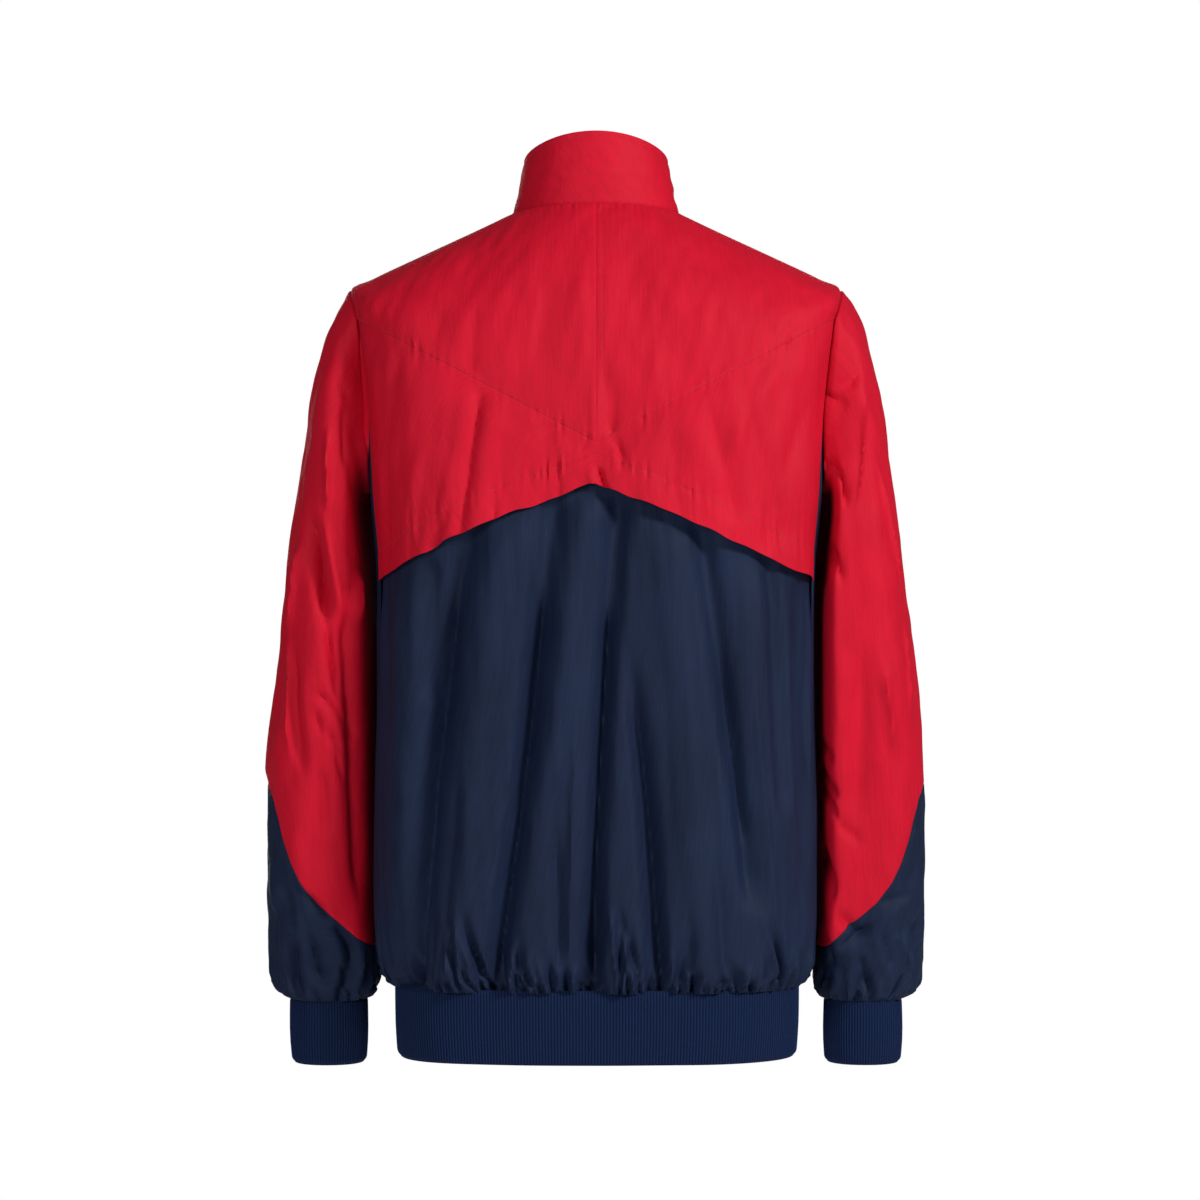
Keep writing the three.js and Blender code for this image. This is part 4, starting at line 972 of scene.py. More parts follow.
def add_node(tree: bpy.types.NodeTree, kind: str, settings: dict[str, object] | None = None,
             links: dict[str, bpy.types.NodeSocket] | None = None) -> bpy.types.Node:
    """Adds a node with its settings and links.

    Args:
        tree: The material's or world's node tree.
        kind: Blender's name of the node.
        settings: Properties of the node, or values of its sockets.
        links: Sockets of other nodes that feed this one's.

    Returns:
        The new node.
    """
    node = tree.nodes.new(kind)
    for name, value in (settings or {}).items():
        if hasattr(node, name):
            setattr(node, name, value)
        else:
            node.inputs[int(name) if name.isdigit() else name].default_value = value
    for name, source in (links or {}).items():
        tree.links.new(source, node.inputs[int(name) if name.isdigit() else name])
    return node


def linear(hex_colour: str) -> tuple[float, float, float, float]:
    """Turns an sRGB hex colour into linear values."""
    parts = [int(hex_colour[index:index + 2], 16) / 255 for index in (1, 3, 5)]
    curved = [part / 12.92 if part <= 0.04045 else ((part + 0.055) / 1.055) ** 2.4 for part in parts]
    return (*curved, 1.0)


def new_material(name: str) -> tuple[bpy.types.Material, bpy.types.NodeTree]:
    """Makes an empty node material and its output node."""
    material = bpy.data.materials.new(name)
    material.use_nodes = True
    material.node_tree.nodes.clear()
    add_node(material.node_tree, "ShaderNodeOutputMaterial")
    return material, material.node_tree


def finish_material(tree: bpy.types.NodeTree, shader: bpy.types.Node) -> None:
    """Links a shader to the output node."""
    output = next(node for node in tree.nodes if node.type == "OUTPUT_MATERIAL")
    tree.links.new(shader.outputs[0], output.inputs["Surface"])


def noise(tree: bpy.types.NodeTree, source: bpy.types.NodeSocket, per_metre: Sequence[float],
          detail: float = 2.0) -> bpy.types.NodeSocket:
    """Noise with its own scale along each axis.

    Args:
        tree: The node tree.
        source: Coordinates in metres.
        per_metre: Swells a metre along X, Y and Z.
        detail: Layers of finer noise.

    Returns:
        The noise's value socket.
    """
    mapping = add_node(tree, "ShaderNodeMapping", {"Scale": tuple(per_metre)}, {"Vector": source})
    texture = add_node(
        tree, "ShaderNodeTexNoise", {"Scale": 1.0, "Detail": detail, "Roughness": 0.55},
        {"Vector": mapping.outputs[0]},
    )
    return texture.outputs["Fac"]


@dataclass(frozen=True)
class PeachedShell:
    """Peached polyester microfibre: plain woven and brushed, so it is matt with a soft bloom."""

    name: str
    colour: str
    shade: str
    bloom: str
    roughness: float = 0.66
    sheen: float = 0.02

    def build(self) -> bpy.types.Material:
        """Makes the material.

        Returns:
            A cloth with fine upright streaks, a plain weave and small creases.
        """
        material, tree = new_material(self.name)
        place = add_node(tree, "ShaderNodeTexCoord").outputs["Object"]
        cloth = add_node(tree, "ShaderNodeUVMap").outputs[0]
        clouds = noise(tree, place, (16, 16, 9), 3)
        streaks = noise(tree, cloth, (420, 26, 1), 2)
        both = add_node(tree, "ShaderNodeMix", {"data_type": "FLOAT", "Factor": 0.5}, {"2": clouds, "3": streaks})
        spread = add_node(
            tree, "ShaderNodeMapRange", {"From Min": 0.34, "From Max": 0.66, "To Min": 0.0, "To Max": 1.0},
            {"Value": both.outputs[0]},
        )
        ramp = add_node(tree, "ShaderNodeValToRGB", links={"Fac": spread.outputs[0]})
        ramp.color_ramp.elements[0].color = linear(self.shade)
        ramp.color_ramp.elements[1].color = linear(self.colour)
        rough = add_node(
            tree, "ShaderNodeMapRange",
            {"To Min": self.roughness - 0.05, "To Max": self.roughness + 0.07}, {"Value": streaks},
        )
        bump = self.relief(tree, cloth, place)
        shader = add_node(
            tree, "ShaderNodeBsdfPrincipled",
            {
                "Sheen Weight": self.sheen, "Sheen Roughness": 0.55, "Sheen Tint": linear(self.bloom),
                "Specular IOR Level": 0.16,
            },
            {"Base Color": ramp.outputs["Color"], "Roughness": rough.outputs[0], "Normal": bump},
        )
        finish_material(tree, shader)
        return material

    def relief(self, tree: bpy.types.NodeTree, cloth: bpy.types.NodeSocket,
               place: bpy.types.NodeSocket) -> bpy.types.NodeSocket:
        """Bump of the small creases, the streaks and the weave.

        Args:
            tree: The node tree.
            cloth: Coordinates along the cloth in metres.
            place: Coordinates in space in metres.

        Returns:
            The normal socket.
        """
        # The real threads are 0.15 mm apart, too fine to show, so they are drawn 0.8 mm apart
        threads = add_node(tree, "ShaderNodeTexWave", {"Scale": 1250 / 20 * 2, "Distortion": 0.6}, {"Vector": cloth})
        layers = (
            (noise(tree, place, (75, 75, 34), 3), 0.55, 0.0016),
            (noise(tree, cloth, (520, 42, 1), 2), 0.5, 0.0004),
            (threads.outputs["Fac"], 0.04, 0.0001),
        )
        normal = None
        for height, strength, distance in layers:
            links = {"Height": height} | ({"Normal": normal} if normal else {})
            normal = add_node(
                tree, "ShaderNodeBump", {"Strength": strength, "Distance": distance}, links
            ).outputs[0]
        return normal


@dataclass(frozen=True)
class RibKnit:
    """Knitted polyester rib: upright ribs, soft and quite matt, with painted shade darkening the grooves between them.
    """

    name: str
    colour: str
    painted_groove_shade: str
    pitch: float = RIB_PITCH * MM
    course: float = 1.5 * MM

    def build(self) -> bpy.types.Material:
        """Makes the material.

        Returns:
            A knit whose painted groove shade follows the modelled ribs.
        """
        material, tree = new_material(self.name)
        cloth = add_node(tree, "ShaderNodeUVMap", {"uv_map": "UVMap"}).outputs[0]
        split = add_node(tree, "ShaderNodeSeparateXYZ", links={"Vector": cloth})
        turn = add_node(
            tree, "ShaderNodeMath", {"operation": "MULTIPLY", "1": 2 * math.pi / self.pitch},
            {"0": split.outputs["X"]},
        )
        wave = add_node(tree, "ShaderNodeMath", {"operation": "COSINE"}, {"0": turn.outputs[0]})
        share = add_node(
            tree, "ShaderNodeMapRange", {"From Min": -1.0, "From Max": 0.6}, {"Value": wave.outputs[0]}
        )
        # Painted shade: the base colour darkens in the grooves between the modelled ribs, where shade falls.
        ramp = add_node(tree, "ShaderNodeValToRGB", links={"Fac": share.outputs[0]})
        ramp.color_ramp.elements[0].color = linear(self.painted_groove_shade)
        ramp.color_ramp.elements[1].color = linear(self.colour)
        stitches = noise(tree, cloth, (1 / self.pitch, 1 / self.course, 1), 1)
        bump = add_node(
            tree, "ShaderNodeBump", {"Strength": 0.5, "Distance": 0.0005}, {"Height": stitches}
        )
        shader = add_node(
            tree, "ShaderNodeBsdfPrincipled",
            {
                "Roughness": 0.85, "Sheen Weight": 0.03, "Sheen Roughness": 0.5,
                "Sheen Tint": linear("#5a6c9c"), "Specular IOR Level": 0.12,
            },
            {"Base Color": ramp.outputs["Color"], "Normal": bump.outputs[0]},
        )
        finish_material(tree, shader)
        return material


@dataclass(frozen=True)
class SewingThread:
    """Spun polyester thread: a little glossier than the cloth, with a tight twist."""

    name: str
    colour: str

    def build(self) -> bpy.types.Material:
        """Makes the material."""
        material, tree = new_material(self.name)
        place = add_node(tree, "ShaderNodeTexCoord").outputs["Object"]
        twist = noise(tree, place, (2500, 2500, 2500), 1)
        bump = add_node(tree, "ShaderNodeBump", {"Strength": 0.4, "Distance": 0.0002}, {"Height": twist})
        shader = add_node(
            tree, "ShaderNodeBsdfPrincipled",
            {"Base Color": linear(self.colour), "Roughness": 0.5, "Sheen Weight": 0.1},
            {"Normal": bump.outputs[0]},
        )
        finish_material(tree, shader)
        return material


@dataclass(frozen=True)
class WovenTape:
    """Woven polyester zip tape: a herringbone of flat threads, matt."""

    name: str
    colour: str

    def build(self) -> bpy.types.Material:
        """Makes the material."""
        material, tree = new_material(self.name)
        place = add_node(tree, "ShaderNodeTexCoord").outputs["Object"]
        # The real herringbone is 0.4 mm; it is drawn at 1 mm so that it shows
        weave = add_node(
            tree, "ShaderNodeTexWave", {"Scale": 160.0, "bands_direction": "DIAGONAL"}, {"Vector": place}
        )
        bump = add_node(
            tree, "ShaderNodeBump", {"Strength": 0.5, "Distance": 0.0003}, {"Height": weave.outputs["Fac"]}
        )
        shader = add_node(
            tree, "ShaderNodeBsdfPrincipled",
            {"Base Color": linear(self.colour), "Roughness": 0.78, "Specular IOR Level": 0.3},
            {"Normal": bump.outputs[0]},
        )
        finish_material(tree, shader)
        return material


@dataclass(frozen=True)
class MouldedTeeth:
    """Injection-moulded acetal teeth: smooth, hard and softly glossy."""

    name: str
    colour: str

    def build(self) -> bpy.types.Material:
        """Makes the material."""
        material, tree = new_material(self.name)
        place = add_node(tree, "ShaderNodeTexCoord").outputs["Object"]
        grain = noise(tree, place, (900, 900, 900), 2)
        rough = add_node(tree, "ShaderNodeMapRange", {"To Min": 0.28, "To Max": 0.42}, {"Value": grain})
        shader = add_node(
            tree, "ShaderNodeBsdfPrincipled", {"Base Color": linear(self.colour), "IOR": 1.48},
            {"Roughness": rough.outputs[0]},
        )
        finish_material(tree, shader)
        return material


@dataclass(frozen=True)
class EnamelledZinc:
    """Die-cast zinc with a satin enamel and a faint orange peel."""

    name: str
    colour: str

    def build(self) -> bpy.types.Material:
        """Makes the material."""
        material, tree = new_material(self.name)
        place = add_node(tree, "ShaderNodeTexCoord").outputs["Object"]
        peel = noise(tree, place, (700, 700, 700), 2)
        rough = add_node(tree, "ShaderNodeMapRange", {"To Min": 0.26, "To Max": 0.4}, {"Value": peel})
        bump = add_node(tree, "ShaderNodeBump", {"Strength": 0.15, "Distance": 0.0002}, {"Height": peel})
        shader = add_node(
            tree, "ShaderNodeBsdfPrincipled",
            {"Base Color": linear(self.colour), "Metallic": 0.85},
            {"Roughness": rough.outputs[0], "Normal": bump.outputs[0]},
        )
        finish_material(tree, shader)
        return material


@dataclass(frozen=True)
class StitchSize:
    """Size of one stitch; the thread is 0.3 mm thick and is drawn a little coarser, to show."""

    pitch: float = 3.0
    length: float = 2.4
    thickness: float = 0.5


class Sewing:
    """Rows of topstitching of one colour, each stitch a short plump thread."""

    def __init__(self, name: str, slot: str, material: bpy.types.Material, size: StitchSize = StitchSize()) -> None:
        """Starts without any row.

        Args:
            name: Name of the finished object.
            slot: The colour slot.
            material: The thread.
            size: Size of a stitch.
        """
        self.name, self.slot, self.material, self.size = name, slot, material, size
        self.places: list[np.ndarray] = []

    def run(self, cloth: Cloth, edge: np.ndarray, distance: float, sideways: bool = False) -> None:
        """Sews a row beside an edge of a cloth.

        Args:
            cloth: The lifted cloth.
            edge: Distances from the edge.
            distance: Distance of the row in millimetres.
            sideways: Whether the edge is a side of the grid.
        """
        line, normals = cloth.trace(edge, distance, sideways)
        run = np.concatenate([[0], np.cumsum(np.linalg.norm(np.diff(line, axis=0), axis=-1))])
        centres = np.arange(self.size.pitch, run[-1] - self.size.pitch / 2, self.size.pitch)
        half = self.size.length / 2
        ends = [self.between(run, line, centres + shift) for shift in (-half, half)]
        out = self.between(run, normals, centres)
        along = ends[1] - ends[0]
        along /= np.linalg.norm(along, axis=-1, keepdims=True)
        across = np.cross(out, along)
        across /= np.linalg.norm(across, axis=-1, keepdims=True)
        out = np.cross(along, across)
        middle = (ends[0] + ends[1]) / 2
        self.places.append(np.stack([along, across, out, middle], axis=1))

    @staticmethod
    def between(run: np.ndarray, values: np.ndarray, wanted: np.ndarray) -> np.ndarray:
        """Values of a line at wanted lengths along it."""
        return np.stack([np.interp(wanted, run, values[:, k]) for k in range(3)], axis=-1)

    def finish(self) -> None:
        """Models one stitch and lays a copy of it at every place."""
        bpy.ops.object.select_all(action="DESELECT")
        bpy.ops.mesh.primitive_uv_sphere_add(segments=6, ring_count=4, radius=0.5)
        stitch = bpy.context.object
        bpy.ops.object.mode_set(mode="EDIT")
        bpy.ops.mesh.select_all(action="SELECT")
        bpy.ops.transform.rotate(value=math.pi / 2, orient_axis="Y", center_override=(0, 0, 0))
        size = (self.size.length, self.size.thickness, self.size.thickness)
        bpy.ops.transform.resize(value=size, center_override=(0, 0, 0))
        bpy.ops.object.mode_set(mode="OBJECT")
        copy_to(stitch, np.concatenate(self.places))
        smooth(stitch, 80)
        Dressing(self.name, (), self.slot, self.material).put_on(stitch)


class Wardrobe:
    """All the finishes of the jacket, each made once."""

    def __init__(self) -> None:
        """Builds the materials."""
        self.red = PeachedShell("peached microfibre red", "#cf0b2b", "#bd0825", "#e0485a").build()
        self.navy = PeachedShell("peached microfibre navy", "#172541", "#101b33", "#4a5a8a").build()
        self.rib = RibKnit("rib knit navy", "#12254a", "#08122a").build()
        self.red_thread = SewingThread("spun thread red", "#a81226").build()
        self.navy_thread = SewingThread("spun thread navy", "#161d36").build()
        self.tape = WovenTape("woven zip tape navy", "#161c33").build()
        self.teeth = MouldedTeeth("moulded acetal navy", "#1a2140").build()
        self.zinc = EnamelledZinc("enamelled zinc navy", "#2a3350").build()


def yoke_seam_level(angle: np.ndarray) -> np.ndarray:
    """Level of the pointed seam, straight from the centre back up to each armhole."""
    end = BODY.points(np.array(SIDE_SEAM), np.array(ARMHOLE_TOP_END))
    slope = (end[2] - BACK_SEAM_POINT_Z) / end[0]
    return BODY.level_where(angle, lambda p: p[..., 2] < BACK_SEAM_POINT_Z + slope * np.abs(p[..., 0]))


def cape_edge_level(angle: np.ndarray) -> np.ndarray:
    """Level of the cape's free edge."""
    def is_below(points: np.ndarray) -> np.ndarray:
        """Whether points lie below the wavy edge."""
        across = points[..., 0]
        return points[..., 2] < np.interp(across, CAPE_EDGE_X, CAPE_EDGE_Z) + 0.9 * ripple(across, (27, 41, 73), 77)

    return BODY.level_where(angle, is_below)


def front_seam_level(angle: np.ndarray) -> np.ndarray:
    """Level of the plain seam of the front yokes."""
    start = BODY.points(np.array(ARMHOLE_FRONT), np.array(ARMHOLE_TOP_END))
    slope = (start[2] - FRONT_SEAM_Z) / abs(start[0])
    return BODY.level_where(angle, lambda p: p[..., 2] < FRONT_SEAM_Z + slope * np.abs(p[..., 0]))


def panel(top: tuple[np.ndarray, np.ndarray], bottom: tuple[np.ndarray, np.ndarray], shares: np.ndarray,
          side: Side = Side.LEFT) -> tuple[Cloth, np.ndarray, np.ndarray]:
    """Cloth of a body panel whose columns run from top places to bottom places.

    Args:
        top: Angles and levels of the upper edge.
        bottom: Angles and levels of the lower edge.
        shares: Shares of the way down for the rows.
        side: The wearer's side.

    Returns:
        The cloth, and the angles and levels of its grid.
    """
    share = shares[:, None]
    level = top[1] + (bottom[1] - top[1]) * share
    angle = BODY.beside_zip(top[0] + (bottom[0] - top[0]) * share, level)
    return Cloth(BODY.points(side.value * angle, level), mirrored=side is Side.RIGHT), angle, level


SHELL_SPACING = 3.6
LONG_SPACING = 5.0
COLUMN_SPACING = 1.7


@dataclass
class BackSection:
    """The back: two yokes, the free cape and the panel below it."""

    wardrobe: Wardrobe
    yoke_drop: float = 200.0
    panel_drop: float = 560.0
    cape_drop: float = 130.0
    half_girth: float = 215.0
    pucker_depth: float = 0.6
    cape_air: float = 3.2
    fold_share: float = 1.3

    def build(self) -> None:
        """Makes all four pieces and their sewing."""
        self.sewing = Sewing("stitches_back", "red_shell", self.wardrobe.red_thread)
        for side in Side:
            self.yoke(side)
        self.cape()
        self.sewing.finish()
        self.panel()

    def back_angles(self) -> np.ndarray:
        """Angles of the columns from one side seam to the other."""
        half = spaced(self.half_girth, COLUMN_SPACING, (0, 1.8), SEWN) * SIDE_SEAM
        return np.concatenate([-half[:0:-1], half])

    def yoke(self, side: Side) -> None:
        """Makes one back yoke, sewn at the centre back, neck, shoulder, armhole and pointed seam."""
        seam = spaced(self.half_girth, COLUMN_SPACING, SEWN, (0,)) * SIDE_SEAM
        steps = np.linspace(0, SHOULDER_SEAM_STEP, 40)[1:]
        arm_angle, arm_level = ARMHOLE.edge(steps)
        angle = np.concatenate([seam, arm_angle])
        end = np.concatenate([yoke_seam_level(seam), arm_level])
        shares = spaced(self.yoke_drop, SHELL_SPACING, SEWN, SEWN)
        cloth, _, _ = panel((angle, np.zeros_like(angle)), (angle, end), shares, side)
        middle = cloth.across
        lying = ease(15, 75, cloth.points[..., 1])
        relief = fold_depth(YOKE_FOLDS, cloth.x, cloth.z) + 1.1 * crumple(cloth.points, 42, 5, 1.6) * lying
        relief += 0.4 * crumple(cloth.points, 13, 4, 2.5) * lying
        cloth.lift += relief * cloth.calm(12, cloth.down, cloth.up, middle, cloth.back_across)
        cloth.sew_edges(0.35, cloth.down, cloth.up, middle, cloth.back_across)
        cloth.lift -= 1.2 * ease(14, 0, cloth.back_across) * ease(-125, -80, cloth.z)
        cloth.lift += fold_depth(CENTRE_FOLDS, cloth.x, cloth.z)
        cloth.pucker(middle, cloth.z, self.pucker_depth * 0.5, 7, 11)
        cloth.pucker(cloth.up, cloth.x, self.pucker_depth, 7, 12)
        cloth.pucker(cloth.down, cloth.x, self.pucker_depth * 0.7, 9, 13)
        if side is Side.RIGHT:
            cloth.topstitch(middle, 5.5, 0.3)
            self.sewing.run(cloth, middle, 5.5, sideways=True)
        self.sewing.run(cloth, cloth.up, 1.3)
        name = f"back_yoke_{side.word}"
        lay_sheet(cloth, SHELL, Dressing(f"cloth_{name}", (name,), "red_shell", self.wardrobe.red))

    def cape(self) -> None:
        """Makes the free cape with its stitched hem."""
        angle = self.back_angles()
        shares = spaced(self.cape_drop, SHELL_SPACING, SEWN, HEMMED)
        cloth, _, _ = panel((angle, yoke_seam_level(angle)), (angle, cape_edge_level(angle)), shares)
        share = cloth.down / cloth.down[-1:]
        sides = np.minimum(cloth.across, cloth.back_across)
        cloth.lift += np.interp(cloth.x, CAPE_EDGE_X, CAPE_STAND_OFF) * share**1.2
        cloth.lift += self.cape_air * ease(0, 34, cloth.down) * ease(0, 30, sides)
        relief = fold_depth(CAPE_FOLDS, cloth.x, cloth.z) + 1.1 * crumple(cloth.points, 36, 6, 1.5)
        relief += 0.45 * crumple(cloth.points, 13, 4, 2.5)
        cloth.lift += relief * cloth.calm(14, cloth.down, sides) + fold_depth(CENTRE_FOLDS, cloth.x, cloth.z)
        deepest = CAPE_ROOM / 2
        cloth.lift = np.where(cloth.lift < 0, deepest * np.tanh(cloth.lift / deepest), cloth.lift)
        cloth.sew_edges(0.35, cloth.down, sides)
        cloth.lift += 0.45 * ease(CAPE_HEM + 1, CAPE_HEM - 1, cloth.up)
        cloth.topstitch(cloth.up, CAPE_HEM, 0.8)
        cloth.pucker(cloth.down, cloth.x, self.pucker_depth, 8, 12)
        cloth.pucker(cloth.up - CAPE_HEM, cloth.x, 0.9, 9, 14)
        self.sewing.run(cloth, cloth.up, CAPE_HEM)
        lay_sheet(cloth, SHELL, Dressing("cloth_back_cape", ("back_cape",), "red_shell", self.wardrobe.red))

    def panel(self) -> None:
        """Makes the navy panel, which runs up under the cape and gathers into the hem band."""
        angle = self.back_angles()
        shares = spaced(self.panel_drop, LONG_SPACING, PLAIN, GATHERED)
        bottom = np.full_like(angle, HEM_LEVEL)
        cloth, _, level = panel((angle, yoke_seam_level(angle)), (angle, bottom), shares)
        cape_level = cape_edge_level(angle)[None]
        cloth.lift -= CAPE_ROOM * (1 - ease(0, 1, (level - cape_level - 0.02) / 0.48))
        showing = ease(0, 1, (level - cape_level + 0.4) / 0.7)
        sides = np.minimum(cloth.across, cloth.back_across)
        relief = self.fold_share * fold_depth(BACK_FOLDS, cloth.x, cloth.z) + 1.5 * crumple(cloth.points, 34, 7, 5)
        relief += 0.5 * crumple(cloth.points, 12, 3, 5)
        cloth.lift += relief * showing * cloth.calm(10, sides)
        gather_hem(cloth, 15)
        cloth.sew_edges(0.35, sides)
        lay_sheet(
            cloth, SHELL, Dressing("cloth_back_panel", ("back_panel",), "navy_shell", self.wardrobe.navy)
        )


def gather_hem(cloth: Cloth, seed: int, height: float = 1.0, spacing: float = 8.5) -> None:
    """Draws the lower edge of a cloth into narrow slanted valleys of uneven length.

    Args:
        cloth: The cloth, whose last row is sewn to a band.
        seed: Seed of the valleys' places, slants and lengths.
        height: Depth of the valleys, 1 for the body.
        spacing: Usual distance from valley to valley in millimetres.
    """
    random = np.random.default_rng(seed)
    girth = float(cloth.across[-1].max())
    place = spacing / 2
    calm = ease(-1.5, 2.5, cloth.up)
    cloth.level = ease(34, 14, cloth.up)
    cloth.lift += height * 1.4 * np.exp(-((cloth.up - 12) / 12) ** 2) * calm
    while place < girth - spacing / 3:
        length = random.choice([12, 18, 28, 45, 80]) * random.uniform(0.8, 1.25)
        slant = random.uniform(-0.35, 0.35)
        width = random.uniform(1.2, 2.2)
        depth = height * random.uniform(4.2, 8.0)
        bend = random.uniform(-2.5, 2.5)
        line = place + slant * cloth.up + bend * np.sin(cloth.up / length * np.pi / 2)
        offset = cloth.across[-1:] - line
        if cloth.closed:
            offset = (offset + girth / 2) % girth - girth / 2
        spread = width * (1 + 1.6 * np.clip(cloth.up / length, 0, 1))
        fade = 1 - ease(0.35 * length, length, cloth.up)
        shape = np.exp(-np.abs(offset / spread) ** 1.5) - 0.45 * np.exp(-((np.abs(offset) - 2.4 * spread) / spread) ** 2)
        cloth.lift -= depth * shape * fade * calm
        place += spacing * random.uniform(0.5, 1.5)


@dataclass
class FrontSection:
    """The fronts: two red yokes and two navy fronts that wrap round the sides."""

    wardrobe: Wardrobe
    centre_girth: float = 190.0
    yoke_drop: float = 125.0
    drop: float = 520.0

    def build(self) -> None:
        """Makes all four pieces and their sewing."""
        self.red_sewing = Sewing("stitches_front_yokes", "red_shell", self.wardrobe.red_thread)
        self.navy_sewing = Sewing("stitches_fronts", "navy_shell", self.wardrobe.navy_thread)
        for side in Side:
            self.yoke(side)
            self.front(side)
        self.red_sewing.finish()
        self.navy_sewing.finish()

    def centre_angles(self) -> np.ndarray:
        """Angles from the armhole's front to the zip."""
        shares = spaced(self.centre_girth, 2.2, (0, 1.8), SEWN)
        return ARMHOLE_FRONT + (HALF_TURN - ARMHOLE_FRONT) * shares

    def yoke(self, side: Side) -> None:
        """Makes one front yoke."""
        steps = np.linspace(SHOULDER_SEAM_STEP, ARMHOLE.arc, 9)[:-1]
        arm_angle, arm_level = ARMHOLE.edge(steps)
        centre = self.centre_angles()
        angle = np.concatenate([arm_angle, centre])
        end = np.concatenate([arm_level, front_seam_level(centre)])
        shares = spaced(self.yoke_drop, SHELL_SPACING, SEWN, SEWN)
        cloth, _, _ = panel((angle, np.zeros_like(angle)), (angle, end), shares, side)
        relief = 1.0 * crumple(cloth.points, 42, 5, 1.6) + 0.35 * crumple(cloth.points, 13, 4, 2.5)
        cloth.lift += relief * cloth.calm(12, cloth.down, cloth.up, cloth.across, cloth.back_across)
        cloth.sew_edges(0.35, cloth.down, cloth.up, cloth.across, cloth.back_across)
        cloth.topstitch(cloth.back_across, 6)
        cloth.pucker(cloth.up, cloth.x, 0.25, 8, 21)
        self.red_sewing.run(cloth, cloth.back_across, 6, sideways=True)
        self.red_sewing.run(cloth, cloth.up, 1.3)
        name = f"front_yoke_{side.word}"
        lay_sheet(cloth, SHELL, Dressing(f"cloth_{name}", (name,), "red_shell", self.wardrobe.red))

    def front(self, side: Side) -> None:
        """Makes one navy front, from the side seam under the armhole to the zip."""
        whole = ARMHOLE.steps - ARMHOLE.straight
        steps = np.linspace(whole, ARMHOLE.arc, 52)[:-1]
        arm_angle, arm_level = ARMHOLE.edge(steps)
        centre = self.centre_angles()
        top_angle = np.concatenate([arm_angle, centre])
        top_level = np.concatenate([arm_level, front_seam_level(centre)])
        bottom_angle = SIDE_SEAM + (HALF_TURN - SIDE_SEAM) * np.concatenate(
            [np.linspace(0, 0.5, len(steps) + 1)[:-1], 0.5 + 0.5 * (centre - centre[0]) / (centre[-1] - centre[0])]
        )
        shares = spaced(self.drop, LONG_SPACING, SEWN, GATHERED)
        bottom = (bottom_angle, np.full_like(bottom_angle, HEM_LEVEL))
        cloth, _, _ = panel((top_angle, top_level), bottom, shares, side)
        clear = cloth.calm(20, cloth.back_across) * cloth.calm(10, cloth.across) * ease(0, 60, cloth.down)
        forward = ease(0, 25, -cloth.points[..., 1])
        relief = fold_depth(FRONT_FOLDS, cloth.x, cloth.z) * forward + 1.2 * crumple(cloth.points, 34, 7, 5)
        relief += 0.4 * crumple(cloth.points, 14, 3, 5)
        cloth.lift += relief * clear
        gather_hem(cloth, 31 + side.value)
        cloth.sew_edges(0.35, cloth.down, cloth.across, cloth.back_across)
        cloth.pucker(cloth.down, cloth.x, 0.25, 8, 21)
        cloth.topstitch(cloth.back_across, 6)
        self.navy_sewing.run(cloth, cloth.back_across, 6, sideways=True)
        name = f"front_{side.word}"
        lay_sheet(cloth, SHELL, Dressing(f"cloth_{name}", (name,), "navy_shell", self.wardrobe.navy))


@dataclass
class Collar:
    """The stand collar, one stiffened wall from zip to zip."""

    wardrobe: Wardrobe
    height: float = 63.0
    half_girth: float = 222.0

    def build(self) -> None:
        """Makes the collar."""
        shares = spaced(self.height, 3.0, (0, 0.4, 1, 2.2, 3.4, 4.2, 5, 6.4), SEWN)
        angles = HALF_TURN * spaced(self.half_girth, 3.2, (0,), SEWN)
        angle = np.concatenate([-angles[:0:-1], angles])[None]
        level = COLLAR.last * shares[:, None] + 0 * angle
        angle = COLLAR.beside_zip(angle + 0 * level, level)
        cloth = Cloth(COLLAR.points(angle, level))
        cloth.lift += 0.45 * crumple(cloth.points, 20, 8, 0.5) * cloth.calm(14, cloth.down, cloth.up)
        cloth.lift += fold_depth(COLLAR_FOLDS, cloth.x, cloth.z) * (cloth.points[..., 1] > 0)
        cloth.sew_edges(0.35, cloth.up, cloth.across, cloth.back_across)
        cloth.lift -= 0.4 * np.exp(-((cloth.down / 0.8) ** 2))
        cloth.topstitch(cloth.down, 4.4, 0.4)
        cloth.pucker(cloth.down - 4.4, cloth.across, 0.12, 5, 41)
        cloth.pucker(cloth.up, cloth.across, 0.2, 7, 42)
        cloth.tuck_row(-1, -3, 1.0)
        sewing = Sewing("stitches_collar", "red_shell", self.wardrobe.red_thread)
        sewing.run(cloth, cloth.down, 4.4)
        sewing.finish()
        dressing = Dressing("cloth_collar", ("collar",), "red_shell", self.wardrobe.red)
        lay_sheet(cloth, COLLAR_CLOTH, dressing)


